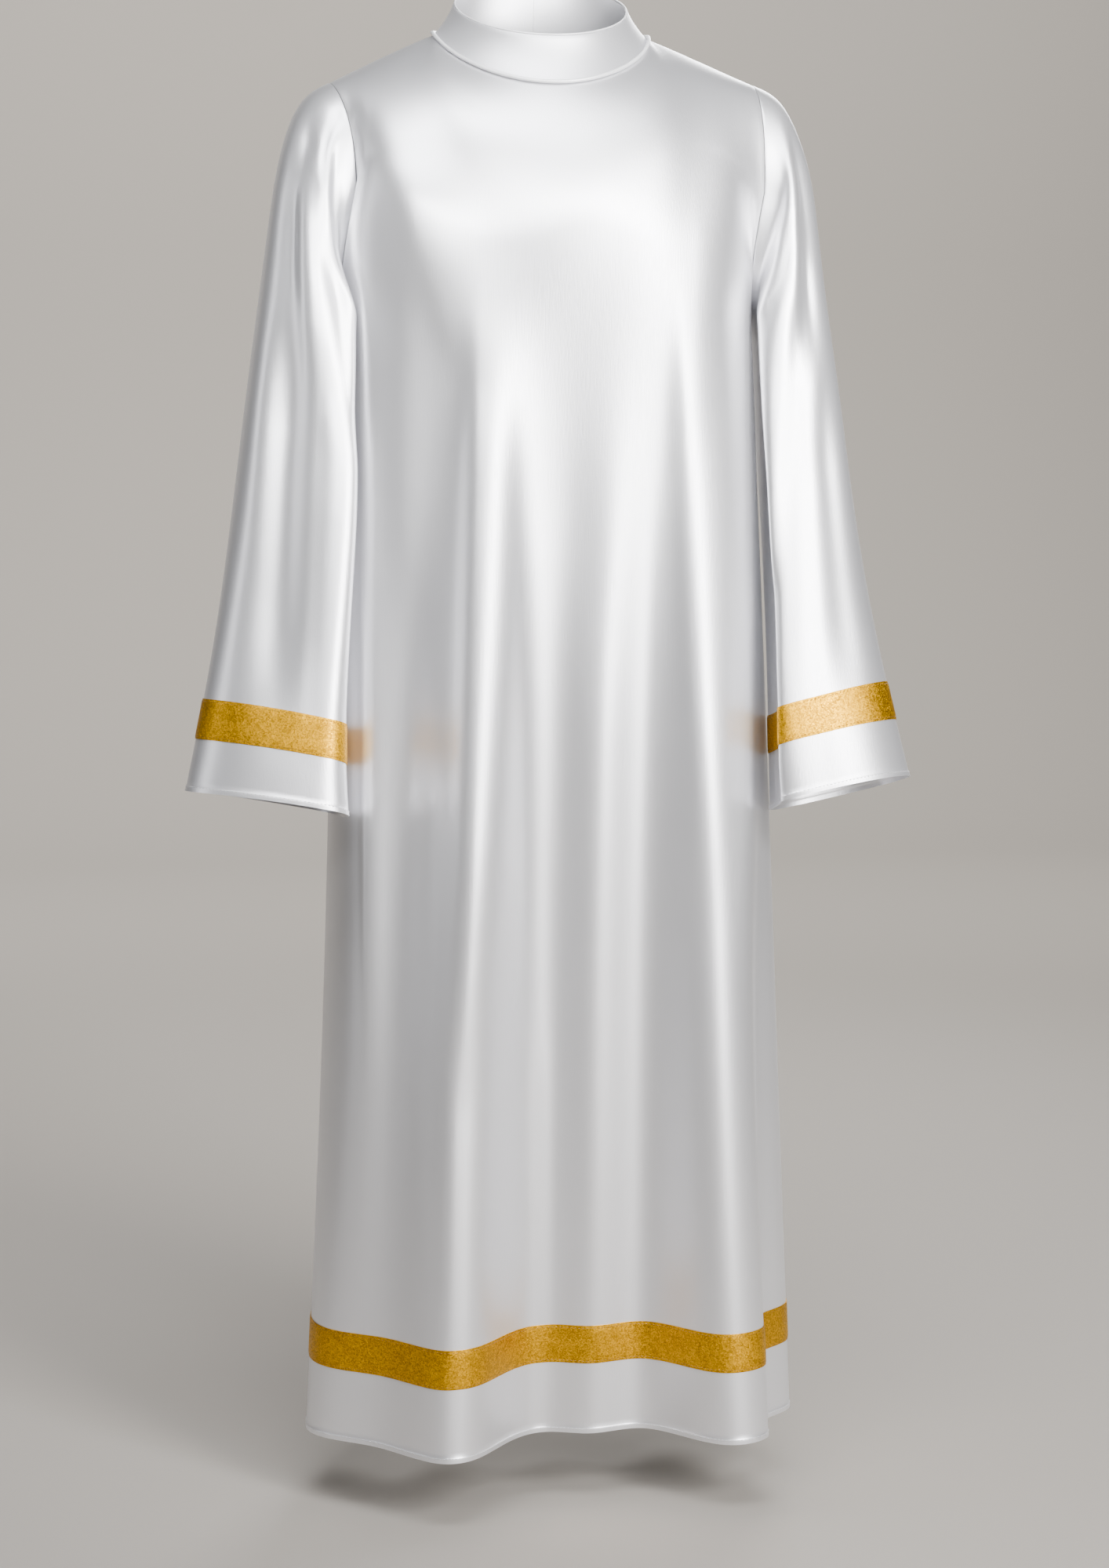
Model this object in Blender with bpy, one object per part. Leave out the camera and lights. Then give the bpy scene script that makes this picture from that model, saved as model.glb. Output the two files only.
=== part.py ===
# Alb: a white satin robe with a stand collar, bell sleeves and gold bands, hanging as it does when worn.
# +X is to the viewer's right, the front faces -Y and +Z is up. The origin lies between the two
# points where the shoulder seams meet the collar. All sizes are in metres.
# In the tables f is the distance forward of the shoulder line, so y = -f.

import math

import bpy
import numpy as np

CLOTH = 0.0012
COLLAR_CLOTH = 0.0020
BAND_CLOTH = 0.0010
SEAM_GAP = 0.0003

CHEST_Z = -0.27
HEM_Z = -1.42
BAND_WIDTH = 0.040
HEM_BAND_RISE = 0.075
CUFF_BAND_RISE_LEFT = 0.053
CUFF_BAND_RISE_RIGHT = 0.061
SLEEVE_LENGTH = 0.77

NECK_HALF_WIDTH = 0.1075
NECK_FRONT = 0.088
NECK_BACK = 0.060
NECK_FRONT_DROP = 0.057
NECK_BACK_RISE = 0.010
NECK_SHARE = 0.45

SHOULDER_TIP_X = 0.2135
UNDERARM_INSET = 0.0045
SHOULDER_DROP_LEFT = 0.0505
SHOULDER_DROP_RIGHT = 0.0450
NECK_SLANT = 60.0
SIDE_NECK_SLANT = 33.0
TIP_SLANT = 18.0
NECK_SPLAY = 0.5
NECK_SOFTNESS = 0.12
SHOULDER_SPRING = 0.40
CHEST_SPRING = 0.45

COLLAR_TOP_HALF_WIDTH = 0.0880
COLLAR_TOP_FRONT = 0.074
COLLAR_TOP_BACK = 0.056
COLLAR_TOP_Z = 0.028
COLLAR_TOP_SLOPE = 0.52
PIPING_RADIUS = 0.0019

# How finely each piece is divided.
SHOULDER_COLUMNS = 10
FRONT_NECK_COLUMNS = 20
BACK_NECK_COLUMNS = 9
UPPER_ROWS = 12
LOWER_ROWS = 10
SLEEVE_RINGS = 17

# The body is a ring of upright lines, the crests and hollows of its folds, from the left side
# seam across the front to the right one and back round behind. Each row gives x and f on four levels.
LEVELS = (CHEST_Z, -0.52, -0.95, HEM_Z)
BODY_LINES = (
    # line, x and f at the chest, x and f at the waist, x and f at the knee, x and f at the hem
    ("side left", -0.207, 0.000, -0.213, 0.004, -0.225, 0.006, -0.248, 0.006),
    ("corner left", -0.191, 0.080, -0.193, 0.082, -0.201, 0.080, -0.228, 0.060),
    ("flat left", -0.156, 0.103, -0.165, 0.100, -0.179, 0.095, -0.195, 0.083),
    ("flank left", -0.115, 0.116, -0.135, 0.108, -0.154, 0.104, -0.168, 0.108),
    ("crest one", -0.078, 0.123, -0.087, 0.130, -0.103, 0.144, -0.112, 0.157),
    ("foot one", -0.024, 0.124, -0.022, 0.119, -0.036, 0.104, -0.043, 0.092),
    ("hollow left", 0.018, 0.124, 0.016, 0.114, 0.004, 0.091, -0.002, 0.070),
    ("middle crest", 0.060, 0.122, 0.052, 0.118, 0.041, 0.099, 0.041, 0.081),
    ("hollow right", 0.101, 0.117, 0.094, 0.111, 0.093, 0.092, 0.098, 0.073),
    ("crest two", 0.143, 0.107, 0.145, 0.115, 0.155, 0.126, 0.174, 0.137),
    ("edge two", 0.180, 0.090, 0.187, 0.098, 0.199, 0.106, 0.2210, 0.110),
    ("groove", 0.198, 0.066, 0.206, 0.072, 0.211, 0.078, 0.2180, 0.076),
    ("strip", 0.2055, 0.036, 0.220, 0.038, 0.236, 0.044, 0.2540, 0.038),
    ("side right", 0.209, 0.000, 0.223, 0.000, 0.244, -0.004, 0.263, 0.004),
    ("back corner right", 0.182, -0.074, 0.192, -0.080, 0.208, -0.088, 0.232, -0.090),
    ("back crest one", 0.138, -0.101, 0.144, -0.113, 0.157, -0.128, 0.176, -0.146),
    ("back hollow one", 0.090, -0.110, 0.094, -0.107, 0.100, -0.103, 0.108, -0.100),
    ("back crest two", 0.045, -0.113, 0.047, -0.119, 0.050, -0.126, 0.052, -0.131),
    ("centre back", 0.000, -0.114, 0.000, -0.114, -0.002, -0.110, -0.004, -0.106),
    ("back crest three", -0.048, -0.113, -0.051, -0.121, -0.056, -0.135, -0.062, -0.150),
    ("back hollow two", -0.094, -0.109, -0.098, -0.105, -0.105, -0.099, -0.115, -0.092),
    ("back crest four", -0.138, -0.100, -0.143, -0.109, -0.155, -0.121, -0.172, -0.136),
    ("back corner left", -0.181, -0.073, -0.186, -0.078, -0.198, -0.084, -0.218, -0.086),
)
SIDE_RIGHT_LINE = 13
CENTRE_BACK_LINE = 18

# Each sleeve is a tube of rings, from the armhole to the open end. A ring is round a line that runs
# from its outer point to its inner one, which lies against the body.
SLEEVE_COLUMNS = ("along", "outer_x", "outer_z", "inner_x", "inner_z", "middle_f", "front", "back",
                  "front_inset", "tilt")
LEFT_STATIONS = (
    (0.00, 0.2135, -0.0505, 0.2070, -0.270, 0.000, 0.064, 0.058, 0.020, 0.000),
    (0.05, 0.2320, -0.0610, 0.2100, -0.275, 0.001, 0.066, 0.060, 0.019, 0.000),
    (0.12, 0.2495, -0.0860, 0.2125, -0.283, 0.003, 0.069, 0.062, 0.018, 0.000),
    (0.20, 0.2620, -0.1260, 0.2140, -0.297, 0.006, 0.071, 0.064, 0.016, 0.000),
    (0.35, 0.2790, -0.2260, 0.2155, -0.340, 0.014, 0.073, 0.064, 0.018, 0.000),
    (0.55, 0.3025, -0.3850, 0.2165, -0.442, 0.033, 0.072, 0.063, 0.022, 0.004),
    (0.78, 0.3310, -0.5800, 0.2155, -0.614, 0.064, 0.067, 0.060, 0.028, 0.004),
    (1.00, 0.3650, -0.7470, 0.2105, -0.775, 0.092, 0.062, 0.060, 0.036, 0.004),
)
RIGHT_STATIONS = (
    (0.00, 0.2135, -0.0450, 0.2090, -0.270, 0.000, 0.062, 0.058, -0.006, 0.000),
    (0.05, 0.2340, -0.0550, 0.2120, -0.275, 0.000, 0.064, 0.060, -0.006, 0.000),
    (0.12, 0.2510, -0.0800, 0.2145, -0.283, 0.001, 0.068, 0.062, -0.004, 0.000),
    (0.20, 0.2635, -0.1210, 0.2165, -0.297, 0.003, 0.070, 0.064, -0.002, 0.000),
    (0.35, 0.2780, -0.2240, 0.2190, -0.340, 0.010, 0.072, 0.064, 0.002, 0.000),
    (0.55, 0.3000, -0.3850, 0.2225, -0.442, 0.030, 0.071, 0.063, 0.006, 0.004),
    (0.78, 0.3300, -0.5800, 0.2255, -0.614, 0.060, 0.066, 0.060, 0.014, 0.008),
    (1.00, 0.3660, -0.7450, 0.2245, -0.775, 0.084, 0.060, 0.058, 0.018, 0.012),
)
SLEEVE_SQUARENESS = 2.5

# Folds of the sleeves. turn is the angle round the sleeve in degrees: 0 is outermost, 90 in front,
# 180 against the body and 270 behind. depth is outward, so a hollow has a negative one.
FOLD_COLUMNS = ("turn_top", "turn_end", "width", "depth", "begin", "end")
LEFT_FOLDS = (
    (62, 96, 20, 0.0060, 0.02, 0.50),
    (38, 60, 14, -0.0050, 0.03, 0.42),
    (20, 44, 22, 0.0050, 0.05, 0.80),
    (66, 62, 26, -0.0090, 0.38, 0.97),
    (104, 100, 24, 0.0060, 0.45, 1.10),
    (246, 258, 24, -0.0070, 0.20, 0.95),
    (284, 300, 24, 0.0060, 0.10, 0.90),
)
RIGHT_FOLDS = (
    (78, 104, 18, 0.0050, 0.02, 0.50),
    (50, 74, 16, -0.0050, 0.05, 0.50),
    (24, 46, 22, 0.0050, 0.05, 0.80),
    (70, 70, 24, -0.0060, 0.45, 0.97),
    (112, 118, 22, -0.0050, 0.45, 1.00),
    (244, 252, 24, -0.0070, 0.20, 0.95),
    (282, 296, 24, 0.0060, 0.10, 0.90),
)

WHITE = (0.93, 0.93, 0.93, 1.0)
GOLD = (0.74, 0.42, 0.03, 1.0)


def remove_scene_objects():
    for thing in list(bpy.data.objects):
        bpy.data.objects.remove(thing, do_unlink=True)


def material(name, colour, roughness, metallic):
    made = bpy.data.materials.new(name)
    made.use_nodes = True
    shader = made.node_tree.nodes["Principled BSDF"]
    shader.inputs["Base Color"].default_value = colour
    shader.inputs["Roughness"].default_value = roughness
    shader.inputs["Metallic"].default_value = metallic
    made.diffuse_color = colour
    return made


def unit(vectors):
    length = np.linalg.norm(vectors, axis=-1, keepdims=True)
    return vectors / np.maximum(length, 1e-9)


def smooth_step(value):
    held = np.clip(value, 0.0, 1.0)
    return held * held * (3.0 - 2.0 * held)


def spline_weights(knots, places):
    """Rows of weights that turn values at the knots into a smooth open curve's values at the places."""
    count = len(knots)
    gaps = np.diff(knots)
    system = np.zeros((count, count))
    right = np.zeros((count, count))
    system[0, 0] = 1.0
    system[-1, -1] = 1.0
    for i in range(1, count - 1):
        system[i, i - 1] = gaps[i - 1]
        system[i, i] = 2.0 * (gaps[i - 1] + gaps[i])
        system[i, i + 1] = gaps[i]
        right[i, i - 1] = 6.0 / gaps[i - 1]
        right[i, i] = -6.0 / gaps[i - 1] - 6.0 / gaps[i]
        right[i, i + 1] = 6.0 / gaps[i]
    bends = np.linalg.solve(system, right)
    return cubic_pieces(knots, gaps, bends, np.eye(count), places)


def ring_weights(knots, total, places):
    """The same for a closed curve whose knots repeat after the total length."""
    count = len(knots)
    gaps = np.diff(np.append(knots, total))
    system = np.zeros((count, count))
    right = np.zeros((count, count))
    for i in range(count):
        before = (i - 1) % count
        after = (i + 1) % count
        system[i, before] += gaps[before]
        system[i, i] += 2.0 * (gaps[before] + gaps[i])
        system[i, after] += gaps[i]
        right[i, before] += 6.0 / gaps[before]
        right[i, i] += -6.0 / gaps[before] - 6.0 / gaps[i]
        right[i, after] += 6.0 / gaps[i]
    bends = np.linalg.solve(system, right)
    bends = np.vstack([bends, bends[:1]])
    values = np.vstack([np.eye(count), np.eye(count)[:1]])
    return cubic_pieces(np.append(knots, total), gaps, bends, values, np.mod(places, total))


def cubic_pieces(knots, gaps, bends, values, places):
    places = np.asarray(places, float)
    piece = np.clip(np.searchsorted(knots, places, side="right") - 1, 0, len(gaps) - 1)
    gap = gaps[piece][:, None]
    after = (places - knots[piece])[:, None] / gap
    before = 1.0 - after
    straight = before * values[piece] + after * values[piece + 1]
    curve = (before ** 3 - before) * bends[piece] + (after ** 3 - after) * bends[piece + 1]
    return straight + curve * gap * gap / 6.0


def body_line_levels():
    """Positions of the body's lines on the four levels, as levels x lines x (x, f)."""
    numbers = np.array([row[1:] for row in BODY_LINES])
    return numbers.reshape(len(BODY_LINES), len(LEVELS), 2).transpose(1, 0, 2)


def girth_knots():
    """Distance round the body to each line, averaged over the levels, and the whole girth."""
    levels = body_line_levels()
    closed = np.concatenate([levels, levels[:, :1]], axis=1)
    steps = np.linalg.norm(np.diff(closed, axis=1), axis=2).mean(axis=0)
    along = np.concatenate([[0.0], np.cumsum(steps)])
    return along[:-1], along[-1]


def body_rings(heights, girths):
    """Points of the hanging body at each height and each distance round it."""
    heights = np.asarray(heights, float)
    levels = body_line_levels()
    upright = spline_weights(-np.array(LEVELS), -heights)
    lines = np.einsum("hl,lkc->hkc", upright, levels)
    knots, total = girth_knots()
    around = ring_weights(knots, total, girths)
    flat = np.einsum("gk,hkc->hgc", around, lines)
    points = np.empty(flat.shape[:2] + (3,))
    points[..., 0] = flat[..., 0]
    points[..., 1] = -flat[..., 1]
    points[..., 2] = heights[:, None]
    return points


def neck_point(turn, front):
    """A point of the neckline. turn runs from -90 to 90 degrees, 0 at the centre front or back."""
    reach = np.maximum(np.cos(np.radians(turn)), 0.0)
    x = NECK_HALF_WIDTH * np.sin(np.radians(turn))
    if front:
        return np.stack([x, -NECK_FRONT * reach, -NECK_FRONT_DROP * reach ** 1.25], axis=-1)
    return np.stack([x, NECK_BACK * reach, NECK_BACK_RISE * reach], axis=-1)


def shoulder_point(share, side):
    """A point of the shoulder seam, from the neck (0) to the tip (1)."""
    x = NECK_HALF_WIDTH + (SHOULDER_TIP_X - NECK_HALF_WIDTH) * share
    drop = np.where(side < 0, SHOULDER_DROP_LEFT, SHOULDER_DROP_RIGHT)
    z = -drop * (0.88 * share + 0.12 * share * share)
    return np.stack([side * x, 0.0 * share, z], axis=-1)


def top_edge(across, front):
    """The top of the front or back: shoulder seam, neckline, shoulder seam, as across goes -1 to 1."""
    across = np.asarray(across, float)
    share = np.clip((np.abs(across) - NECK_SHARE) / (1.0 - NECK_SHARE), 0.0, 1.0)
    turn = np.clip(across / NECK_SHARE, -1.0, 1.0) * 90.0
    side = np.where(across < 0, -1.0, 1.0)
    on_neck = (np.abs(across) <= NECK_SHARE)[:, None]
    return np.where(on_neck, neck_point(turn, front), shoulder_point(share, side))


def sleeve_stations(side):
    rows = LEFT_STATIONS if side < 0 else RIGHT_STATIONS
    return np.array(rows)


def sleeve_rings(side, alongs, turns, folds=True):
    """Points of a sleeve, along it (0 at the armhole, 1 at its end) and round it in degrees."""
    table = sleeve_stations(side)
    weights = spline_weights(table[:, 0], alongs)
    value = {}
    for index, name in enumerate(SLEEVE_COLUMNS):
        value[name] = (weights @ table[:, index])[:, None]
    bend = 2.0 / SLEEVE_SQUARENESS
    cosine = np.cos(np.radians(turns))[None, :]
    sine = np.sin(np.radians(turns))[None, :]
    lift = np.sign(cosine) * np.abs(cosine) ** bend
    push = np.sign(sine) * np.abs(sine) ** bend
    reach = np.where(push > 0, value["front"], value["back"])
    x = (value["outer_x"] + value["inner_x"]) / 2 + lift * (value["outer_x"] - value["inner_x"]) / 2
    z = (value["outer_z"] + value["inner_z"]) / 2 + lift * (value["outer_z"] - value["inner_z"]) / 2
    near_seam = np.maximum(1.0 - np.asarray(alongs, float) / 0.25, 0.0)[:, None]
    upper = np.clip(1.0 + lift * near_seam, 0.0, 1.0) ** 2
    inset = upper * value["front_inset"] + (1.0 - upper) * UNDERARM_INSET
    x = x - np.maximum(push, 0.0) ** 2 * inset
    z = z + push * value["tilt"]
    f = value["middle_f"] + push * reach
    points = np.stack([side * x, -f, z], axis=-1)
    if folds:
        normals = grid_normals(points, True) * -side
        points = points + normals * sleeve_fold_depth(side, alongs, turns)[..., None]
    return points


def sleeve_fold_depth(side, alongs, turns):
    alongs = np.asarray(alongs, float)[:, None]
    turns = np.asarray(turns, float)[None, :]
    depth = np.zeros(alongs.shape[:1] + turns.shape[1:])
    for row in (LEFT_FOLDS if side < 0 else RIGHT_FOLDS):
        fold = dict(zip(FOLD_COLUMNS, row))
        share = (alongs - fold["begin"]) / (fold["end"] - fold["begin"])
        centre = fold["turn_top"] + (fold["turn_end"] - fold["turn_top"]) * np.clip(share, 0, 1)
        away = (turns - centre + 180.0) % 360.0 - 180.0
        swell = smooth_step(share * 3.5) * smooth_step((1.0 - share) * 2.5)
        depth = depth + fold["depth"] * np.exp(-(away / fold["width"]) ** 2) * swell
    return depth


def armhole(side, shares, front):
    """The armhole's edge from the shoulder tip (0) to the underarm (1)."""
    turns = 180.0 * np.asarray(shares, float)
    if not front:
        turns = 360.0 - turns
    return sleeve_rings(side, [0.0], turns, folds=False)[0]


def chest_girths(across, front):
    """Distance round the body for columns that run -1 to 1 across the front, or the back."""
    knots, total = girth_knots()
    side = knots[SIDE_RIGHT_LINE]
    centre = knots[CENTRE_BACK_LINE]
    across = np.asarray(across, float)
    if front:
        return side * (across + 1.0) / 2.0
    right = centre + (side - centre) * np.clip(across, 0.0, 1.0)
    left = centre + (total - centre) * np.clip(-across, 0.0, 1.0)
    return np.where(across >= 0, right, left)


def upper_panel(across, shares, front):
    """The front or back above the chest: rows from the shoulders (0) to the chest (1)."""
    across = np.asarray(across, float)
    shares = np.asarray(shares, float)
    facing = -1.0 if front else 1.0
    top = top_edge(across, front)
    girths = chest_girths(across, front)
    chest, below = body_rings([CHEST_Z, CHEST_Z - 0.02], girths)
    upward = unit(chest - below)
    span = np.linalg.norm(chest - top, axis=1)[:, None]
    from_neck = np.clip(np.abs(across) / NECK_SHARE, 0.0, 1.0)
    to_tip = np.clip((np.abs(across) - NECK_SHARE) / (1.0 - NECK_SHARE), 0.0, 1.0)
    slant = NECK_SLANT + (SIDE_NECK_SLANT - NECK_SLANT) * smooth_step(from_neck)
    slant = np.radians(slant + (TIP_SLANT - SIDE_NECK_SLANT) * smooth_step(to_tip))
    splay = NECK_SPLAY * np.sin(from_neck * math.pi / 2) * (1.0 - smooth_step(to_tip)) * np.sign(across)
    leave = unit(np.stack([splay * np.cos(slant), facing * np.cos(slant), -np.sin(slant)], axis=1))
    first = evened(top + leave * span * SHOULDER_SPRING, across)
    second = chest + upward * span * CHEST_SPRING
    s = shares[:, None, None]
    points = ((1 - s) ** 3 * top + 3 * s * (1 - s) ** 2 * first
              + 3 * s ** 2 * (1 - s) * second + s ** 3 * chest)
    for side, end in ((-1.0, 0), (1.0, -1)):
        if across[end] * side < 0:
            continue
        missing = armhole(side, shares, front) - points[:, end]
        near = np.maximum(side * across, 0.0) ** 4
        points = points + missing[:, None, :] * near[None, :, None]
    return points


def evened(points, across):
    """Softens the corner at the neck points, so that it fades quickly below them."""
    widths = np.gradient(across)
    near = np.exp(-((across[:, None] - across[None, :]) / NECK_SOFTNESS) ** 2) * widths[None, :]
    soft = (near / near.sum(axis=1, keepdims=True)) @ points
    keep = np.abs(across)[:, None] ** 4
    return points * keep + soft * (1.0 - keep)


def grid_normals(points, closed):
    """Unit normals of a grid of points, on the side that rows x columns point to."""
    wide = np.concatenate([points, points[:, :1]], axis=1) if closed else points
    falling = wide[1:, :-1] - wide[:-1, 1:]
    rising = wide[1:, 1:] - wide[:-1, :-1]
    cells = np.cross(falling, rising)
    edge = cells[:, -1:] if closed else np.zeros_like(cells[:, :1])
    cells = np.concatenate([edge, cells] if closed else [edge, cells, edge], axis=1)
    cells = np.pad(cells, ((1, 1), (0, 0), (0, 0)))
    return unit(cells[:-1, :-1] + cells[1:, :-1] + cells[:-1, 1:] + cells[1:, 1:])


def panel_columns(front):
    shoulder = np.linspace(1.0, NECK_SHARE, SHOULDER_COLUMNS + 1)
    if front:
        neck = np.linspace(-NECK_SHARE, NECK_SHARE, FRONT_NECK_COLUMNS + 1)
        return np.concatenate([-shoulder[:-1], neck, shoulder[::-1][1:]])
    neck = np.linspace(NECK_SHARE, 0.0, BACK_NECK_COLUMNS + 1)
    half = np.concatenate([shoulder[:-1], neck])
    return np.concatenate([half, -half[::-1][1:]])


def lower_heights():
    band_top = HEM_Z + HEM_BAND_RISE + BAND_WIDTH
    above = np.linspace(CHEST_Z, band_top, LOWER_ROWS + 1)[1:]
    return np.concatenate([above, [band_top - BAND_WIDTH, HEM_Z]])


def panel_grid(across, front):
    """Rows from the shoulders to the hem. The back's columns run from the right side to the left."""
    shares = np.linspace(0.0, 1.0, UPPER_ROWS + 1)
    upper = upper_panel(across, shares, front) if front else back_upper(across, shares)
    lower = body_rings(lower_heights(), chest_girths(across, front))
    return np.concatenate([upper, lower], axis=0)


def back_upper(across, shares):
    return upper_panel(across[::-1], shares, False)[:, ::-1]


def shared(first, second):
    """One normal for two walls that meet at a seam, or each its own where they face each other."""
    agree = np.sum(first * second, axis=-1, keepdims=True) > -0.2
    both = unit(first + second)
    return np.where(agree, both, first), np.where(agree, both, second)


def wall_mesh(name, outer, normals, thickness, closed, flip=False):
    """A closed wall between the outer points and the same points moved in along the normals."""
    rows, columns = outer.shape[:2]
    inner = outer - normals * thickness
    points = np.concatenate([outer.reshape(-1, 3), inner.reshape(-1, 3)])
    behind = rows * columns
    faces = []

    def spot(row, column, layer):
        return layer * behind + row * columns + column % columns

    last = columns if closed else columns - 1
    for i in range(rows - 1):
        for j in range(last):
            faces.append((spot(i, j, 0), spot(i + 1, j, 0), spot(i + 1, j + 1, 0), spot(i, j + 1, 0)))
            faces.append((spot(i, j, 1), spot(i, j + 1, 1), spot(i + 1, j + 1, 1), spot(i + 1, j, 1)))
    for j in range(last):
        faces.append((spot(0, j, 0), spot(0, j + 1, 0), spot(0, j + 1, 1), spot(0, j, 1)))
        end = rows - 1
        faces.append((spot(end, j, 0), spot(end, j, 1), spot(end, j + 1, 1), spot(end, j + 1, 0)))
    if not closed:
        for i in range(rows - 1):
            faces.append((spot(i, 0, 0), spot(i, 0, 1), spot(i + 1, 0, 1), spot(i + 1, 0, 0)))
            end = columns - 1
            faces.append((spot(i, end, 0), spot(i + 1, end, 0), spot(i + 1, end, 1), spot(i, end, 1)))
    if flip:
        faces = [face[::-1] for face in faces]
    mesh = bpy.data.meshes.new(name)
    mesh.from_pydata([tuple(point) for point in points], [], faces)
    mesh.update()
    return mesh


def place(name, mesh, look):
    mesh.materials.append(look)
    thing = bpy.data.objects.new(name, mesh)
    bpy.context.scene.collection.objects.link(thing)
    mesh.shade_smooth()
    mesh.set_sharp_from_angle(angle=math.radians(40.0))
    return thing


def pull_in(points, amount, row=None, column=None):
    """Moves one edge row or column of a grid towards its neighbour."""
    if row is not None:
        near = 1 if row == 0 else -2
        points[row] += unit(points[near] - points[row]) * amount
    else:
        near = 1 if column == 0 else -2
        points[:, column] += unit(points[:, near] - points[:, column]) * amount


def collar_grid(turns, shares):
    """The stand collar round the neck: turn 0 is the centre front and 180 the centre back."""
    turns = np.asarray(turns, float)
    folded = (turns + 180.0) % 360.0 - 180.0
    is_front = np.abs(folded) <= 90.0
    back_turn = np.sign(folded) * (180.0 - np.abs(folded))
    low = np.where(is_front[:, None], neck_point(folded, True), neck_point(back_turn, False))
    reach = np.cos(np.radians(turns))
    f = np.where(is_front, COLLAR_TOP_FRONT, COLLAR_TOP_BACK) * reach
    x = COLLAR_TOP_HALF_WIDTH * np.sin(np.radians(turns))
    high = np.stack([x, -f, COLLAR_TOP_Z - COLLAR_TOP_SLOPE * f], axis=-1)
    s = np.asarray(shares, float)[:, None, None]
    grid = high * (1 - s) + low * s
    bow = 0.0022 * 4 * s * (1 - s)
    outward = unit(low * np.array([1.0, 1.0, 0.0]))
    return grid - bow * outward


def tube_mesh(name, path, sides_out, sides_up, radius, sides):
    """A closed thin roll round a path that ends where it began."""
    count = len(path)
    points = []
    for i in range(count):
        for j in range(sides):
            angle = 2.0 * math.pi * j / sides
            points.append(path[i] + radius * (math.cos(angle) * sides_out[i] + math.sin(angle) * sides_up[i]))
    faces = []
    for i in range(count):
        for j in range(sides):
            a = i * sides + j
            b = i * sides + (j + 1) % sides
            c = (i + 1) % count * sides + (j + 1) % sides
            d = (i + 1) % count * sides + j
            faces.append((a, b, c, d))
    mesh = bpy.data.meshes.new(name)
    mesh.from_pydata([tuple(point) for point in points], [], faces)
    mesh.update()
    return mesh


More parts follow.
